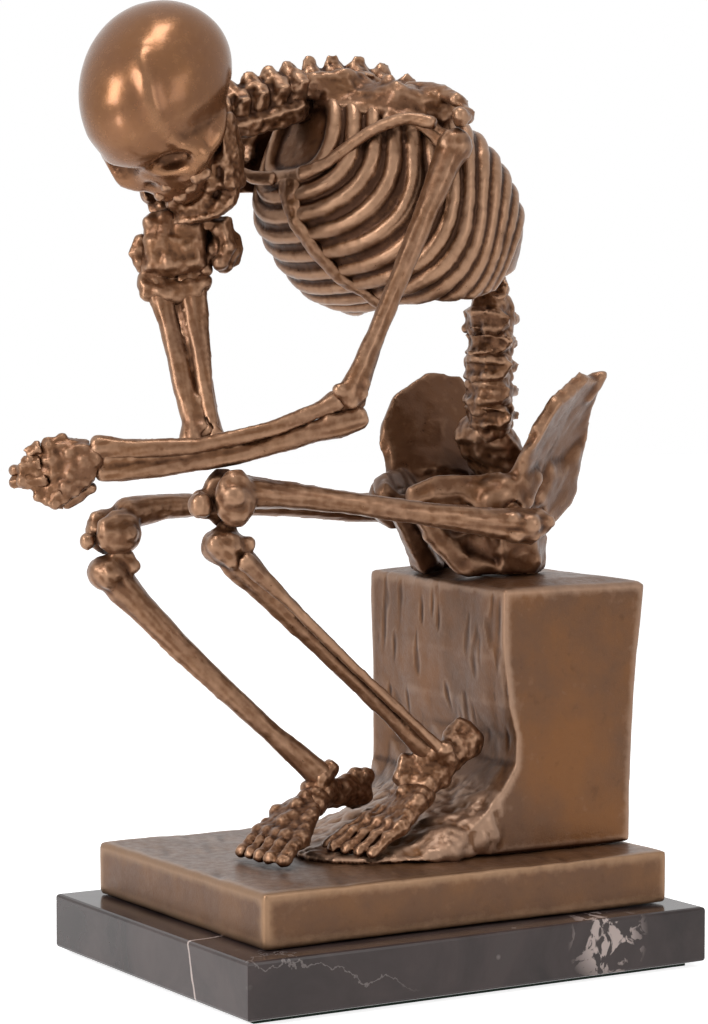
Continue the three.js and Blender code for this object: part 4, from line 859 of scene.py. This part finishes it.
def swept_bands(lines, radius, sides, material):
    """The bands along the lines, as wax that a Cast can take in."""
    holder = new_object("band_lines", lines)
    sweep = holder.modifiers.new("bands", "NODES")
    sweep.node_group = band_tree()
    sockets = {item.name: item.identifier for item in sweep.node_group.interface.items_tree
               if item.in_out == "INPUT"}
    sweep[sockets["Band radius"]] = radius * mm
    sweep[sockets["Band sides"]] = sides
    sweep[sockets["Finish"]] = material
    graph = bpy.context.evaluated_depsgraph_get()
    bands = bpy.data.meshes.new_from_object(holder.evaluated_get(graph))
    bpy.data.objects.remove(holder)
    wax = bmesh.new()
    wax.from_mesh(bands)
    bmesh.ops.remove_doubles(wax, verts=wax.verts, dist=1e-6)
    return wax


def cage_core(wax, inset, rows=52, around=80):
    """Adds the closed wall that the ribs lie on, which is drawn in to a point at both ends."""
    rings = [[wax.verts.new(cage_wall(cage_end * i / rows, 2 * math.pi * j / around, inset) * mm)
              for j in range(around)] for i in range(rows + 1)]
    for low, high in zip(rings, rings[1:]):
        for j in range(around):
            k = (j + 1) % around
            wax.faces.new((low[j], low[k], high[k], high[j]))
    wax.faces.new(reversed(rings[0]))
    wax.faces.new(rings[-1])


cage_wax = swept_bands(rib_lines(), rib_radius, 14, bone_bronze)
cage_core(cage_wax, floor_inset)
cage = Cast("ribcage", 0.55, 8, levels=0, wax=cage_wax, copied=False)
cage.lumps(4, 0.22, 90)
cage.lumps(1.8, 0.04, 91)
# Faces of the cage turned down and away from the lamps get painted shade, so that side is darker.
cage_facing = cage.normals()
cage.add_painted_shade(0.3 * ramp(-0.6 * cage_facing[:, 1] - 0.5 * cage_facing[:, 2] - 0.6 * cage_facing[:, 0],
                     0.35, 0.95))
cage.finish(bone_bronze)
breastbone = Cast("sternum", 0.6, 5)
breastbone.lumps(3, 0.4, 92)
breastbone.finish(bone_bronze)


# The shoulders and arms. Their long bones are modelled like those of the legs. Each shoulder
# blade is a thin bent plate with marks of the modelling tool, and a spine of small lumps.

blade_wax = wax_on(["left_scapula", "ribcage", "thoracic_spine"], 0.1, """
    300 82 8, 314 80 9, 328 80 9, 342 82 9, 356 86 9, 370 90 9, 384 94 9, 398 96 10, 412 98 10,
    426 101 10, 440 105 10, 452 108 9, 310 92 8, 322 97 8, 336 95 9, 350 97 9, 364 99 8,
    378 102 8, 345 74 7, 360 78 7, 376 84 7, 430 90 8, 444 94 8, 456 100 8, 460 115 8""")
blade_wax += wax_on(["left_scapula", "ribcage", "thoracic_spine", "left_clavicle"], 0.15, """
    332 104 8, 344 106 8.5, 356 108 8.5, 368 110 8.5, 380 111 8.5, 440 117 8, 368 97 8.5,
    382 90 7.5, 396 88 7.5, 410 89 7.5, 422 92 8""")
blade_wax += rows_of("""
    13.2 -3.5 243.5 2.4, 15.2 0.6 243.5 2.4, 15.6 5 243.2 2.4, 12.7 -2.6 246.2 2.4,
    14.2 0.6 246 2.4, 16.4 3.9 245.5 2.4, -1.5 -1.5 250.8 2.3, 2.5 -2.5 250.2 2.3,
    5.5 -3 249.6 2.3, -3 -6.5 250.5 2.3, 0.5 -6 249.4 2.3, 4 -5 248.6 2.3, -1 -12 249.5 2.3,
    -2.5 -12.5 250.8 2.3""")
for number, side in enumerate(("left", "right")):
    for order, bone_name in enumerate(("clavicle", "humerus", "ulna", "radius")):
        long_bone(f"{side}_{bone_name}", 100 + 10 * number + order, 0.7)
    blade = Cast(f"{side}_scapula", 0.7, 18, blade_wax if side == "left" else (), bridge=7, fill=1)
    blade.strokes(3, 5, 0.55, 120 + number)
    blade.lumps(2.4, 0.12, 122 + number)
    blade.finish(bone_bronze)


# The hands. They are modelled small and chunky, with the bones pressed against each other. The
# right one is a closed fist with two rows of knuckles, and the left one hangs over the knee.

left_hand = ["left_palm", "left_thumb", "left_index_finger", "left_middle_finger",
             "left_ring_finger", "left_little_finger"]
hand_wax = {
    "left_palm": wax_on(left_hand, 0.75, """
        92 459 13, 84 463 11, 62 439 6.5, 48 445 5.5, 52 461 9, 54 471 7, 65 486 8, 50 489 7,
        37 487 7, 64 500 5.5, 55 504 6.5, 75 491 7, 30 461 8, 24 468 7, 15 471 7, 22 482 6.5,
        39 475 7, 41 456 8, 38 497 6, 47 501 6, 70 455 10, 70 475 10, 84 481 8"""),
    "right_palm": wax_on(["right_palm"], 0.75, """
        167 220 7, 183 230 7.5, 198 228 7, 157 233 7, 173 247 7.5, 195 247 7, 153 253 6.5,
        148 266 6.5, 158 266 6.5, 168 265 6.5, 178 264 6.5, 187 263 6.5, 197 262 6.5,
        157 284 9, 172 286 8, 186 286 8, 147 279 7, 150 222 6""")
    + wax_on(["right_palm", "right_ulna", "right_radius"], 0.75, """
        147 286 7.5, 150 294 8, 161 293 8, 172 295 8, 184 296 8, 195 291 8, 203 283 7,
        165 226 7, 176 223 7, 190 222 7"""),
    "right_thumb": wax_on(["right_thumb"], 0.6, """
        141 250 8, 139 262 7, 145 267 6, 142 240 6""")
    + wax_on(["right_thumb", "right_palm"], 0.6, "145 254 6.5, 147 245 6.5, 147 264 6.5"),
    "right_fingers": wax_on(["right_fingers"], 0.6, """
        220 230 9, 229 247 7, 220 263 8, 213 250 8, 228 266 6, 212 233 8""")
    + wax_on(["right_fingers", "right_palm"], 0.6, "208 232 7, 208 245 7, 208 258 7, 206 270 7")}
fist_ridges = (
    ([(-16.5, -66.5, 200.2), (-11.8, -65.5, 200.2), (-8.3, -61, 200.7), (-5.5, -55.5, 201.2)], 1.9),
    ([(-14, -66.8, 206), (-9.5, -62.2, 205.8), (-6.1, -56.4, 205.8)], 1.5))
hand_pieces = ["left_palm", "left_thumb", "left_little_finger", "left_ring_finger",
               "left_middle_finger", "left_index_finger", "right_palm", "right_thumb",
               "right_fingers"]
for number, node in enumerate(hand_pieces):
    hand = Cast(node, 0.5, 9, hand_wax.get(node, ()), bridge=4.6)
    if node == "right_palm":
        hand.melt(1.0, 160, 1.0)
        for line, height in fist_ridges:
            hand.groove(line, 1.7, -height)
    hand.lumps(4.6, 1.3 if node == "right_palm" else 0.4, 130 + number)
    hand.lumps(1.6, 0.07, 140 + number)
    hand.finish(bone_bronze)


# The skull and jaw. They are the smoothest and glossiest part of the casting, because hands
# rub them most. The sockets are closed hollows, and the teeth are a row of small pearls.

head_middle = np.array([-4.1, -69.0, 248.0])
head_turns = Matrix.Rotation(math.radians(35), 3, "Z") @ Matrix.Rotation(math.radians(47), 3, "X") \
    @ Matrix.Rotation(math.radians(-9), 3, "Y")
head_axes = np.array(head_turns)


def head_place(left, back, up):
    """A place on the head in mm, measured from the middle of the cranium."""
    return head_axes @ np.array([left, back, up]) + head_middle


skull_bronze = bronze_material(
    "bronze_skull_patina", 0.06, 0.12, flat=(0.195, 0.088, 0.043), mottle=(0.23, 0.1, 0.038),
    mottle_share=0.7, mottle_scale=36.0, rubbed=(0.36, 0.19, 0.1), bare=0.5, smooth=0.2, rough=0.3)
brow_line = [(14.4, -75.5, 234.2), (13.8, -70.4, 231.7), (13.6, -65.4, 228.7)]
lower_rim = [(2.2, -74.1, 225.7), (4.5, -70.7, 224.6), (6.6, -67.2, 225.4), (10.2, -65.4, 226.1)]
temple_line = [(9.5, -80.5, 258.5), (11.7, -81.6, 253.9), (14.3, -81.4, 248.9),
               (15.1, -80.7, 243.5), (15.2, -79.0, 238.3), (14.4, -75.5, 234.2)]
cheek_arch = [(13.6, -65.4, 228.7), (12.6, -61, 230), (11.9, -57.0, 235.0), (8.2, -53.1, 241.9)]
temple_wax = rows_of("9 -64.5 236 5, 9 -60.5 235 4.2, 7.5 -65.5 240 5.2, 7 -59.5 239.5 4.6")
temple_wax += wax_on(["skull"], 0.8, "164 145 6, 158 143 6, 170 147 6, 198 163 6, 203 160 6")
skull = Cast("skull", 0.55, 10, temple_wax, levels=0, bridge=7)
seen_from_head = (skull.points / mm - head_middle) @ head_axes
on_cranium = ramp(seen_from_head[:, 2] + 0.35 * seen_from_head[:, 1], -11, -3)
skull.melt(1.0, 60, 0.2)
skull.melt(on_cranium, 420, 1.3)
skull.groove(temple_line, 2.4, -1.2)
skull.groove(brow_line, 1.9, -1.3)
skull.groove(cheek_arch, 2.4, -1.1)
skull.swell((12.5, -65.5, 237.5), 8, -0.9)
for left_socket in ((7.0, -72.4, 228.2), (-10.5, -79.0, 226.4)):
    skull.swell(left_socket, 4.6, -1.4)
skull.groove(lower_rim, 1.4, -1.1)
skull.swell((-3.1, -71.3, 221.2), 3.2, -1.2)
skull.lumps(12, 0.15, 150)
skull.finish(skull_bronze, fine=0.05, broad=0.3)
teeth = [(*head_place(6.2 * math.sin(a), -13.6 - 4.6 * math.cos(a), -28.2), 1.3)
         for a in np.radians(np.linspace(-78, 78, 10))]
jaw_wax = wax_on(["mandible", "skull"], 0.7, """
    167 187 7, 180 197 7.5, 173 203 7, 190 187 7.5, 200 200 7, 210 187 7.5, 219 175 7.5,
    187 212 7, 220 205 7.5, 205 211 7, 160 196 6, 212 165 8, 217 154 8, 223 160 8, 228 170 8,
    230 184 8, 226 197 8, 214 178 8, 204 174 8, 196 178 7, 206 196 7, 196 205 7""")
jaw_wax += wax_on(["mandible", "skull"], 1.1, """
    217 168 7, 218 176 7, 218 184 7, 217 192 7, 214 200 7, 211 186 7, 210 176 7""")
jaw = Cast("mandible", 0.6, 8, jaw_wax + teeth, bridge=4.4)
jaw.lumps(3, 0.5, 152)
jaw.lumps(1.5, 0.18, 153)
jaw.finish(bone_bronze)


# The floor is a plain pale sheet, white where the camera sees it lit, and it keeps the shadow.
# The lamps are soft boxes at a plain level, and the camera stands where the photographer stood.

floor_mesh = bpy.data.meshes.new("floor")
edge = 3.0
floor_mesh.from_pydata([(-edge, -edge, 0), (edge, -edge, 0), (edge, edge, 0), (-edge, edge, 0)],
                       [], [(0, 1, 2, 3)])
floor = new_object("floor", floor_mesh)
paper_white = (0.86, 0.86, 0.86, 1)
pure_white = (1, 1, 1, 1)
paper_glow = 0.8
paper, tree, shader = new_material("white_paper", 0.0, 0.9)
rays = add_node(tree, "LightPath").outputs
seen = both(tree, rays["Is Camera Ray"], rays["Is Glossy Ray"], "ADD")
glow = add_node(tree, "Math", {0: seen, 1: paper_glow}, operation="MULTIPLY")
feed(tree, shader, {"Base Color": paper_white, "Emission Color": pure_white,
                    "Emission Strength": glow.outputs[0]})
floor_mesh.materials.append(paper)

scene = bpy.context.scene
scene.view_settings.view_transform = "Standard"
world = bpy.data.worlds.new("studio")
scene.world = world
world.use_nodes = True
tree = world.node_tree
rays = add_node(tree, "LightPath").outputs
seen = both(tree, rays["Is Camera Ray"], rays["Is Transmission Ray"], "ADD")
seen = both(tree, seen, rays["Is Glossy Ray"], "ADD")
feed(tree, tree.nodes["Background"], {
    "Color": pure_white, "Strength": spread_of(tree, seen, 0.0, 1.0, 0.3, 1.0)})
for name, at, aim, size, watts in (
        ("box_front_left", (0.05, -0.85, 0.5), (0, 0, 0.13), (0.28, 0.4), 3.6),
        ("box_right", (0.9, 0.35, 0.45), (0, 0, 0.12), (0.4, 0.5), 1.2),
        ("box_top", (0.15, -0.1, 1.1), (0, 0, 0.1), (0.3, 0.3), 3.0),
        ("box_low", (0.12, -0.6, 0.06), (0, -0.07, 0.25), (0.1, 0.1), 0.25)):
    lamp = bpy.data.lights.new(name, "AREA")
    lamp.shape = "RECTANGLE"
    lamp.size, lamp.size_y = size
    lamp.energy = watts
    box = new_object(name, lamp)
    box.location = at
    box.rotation_euler = (Vector(aim) - Vector(at)).to_track_quat("-Z", "Y").to_euler()

camera_data = bpy.data.cameras.new("photo_camera")
camera = new_object("photo_camera", camera_data)
scene.camera = camera
image_height = 1024
focal_pixels = 3000.0
camera_data.sensor_width = 36.0
camera_data.lens = camera_data.sensor_width * focal_pixels / image_height
camera_data.clip_end = 20
camera.location = (0.73355, -0.45234, 0.17943)
look_right = Vector((0.5183, 0.8552, 0.0)).normalized()
look_back = Vector((0.8538, -0.5175, 0.0573)).normalized()
look_up = look_back.cross(look_right)
camera.rotation_mode = "QUATERNION"
turn = np.array([look_right, look_up, look_back]).T
camera.rotation_quaternion = Matrix(turn.tolist()).to_quaternion()
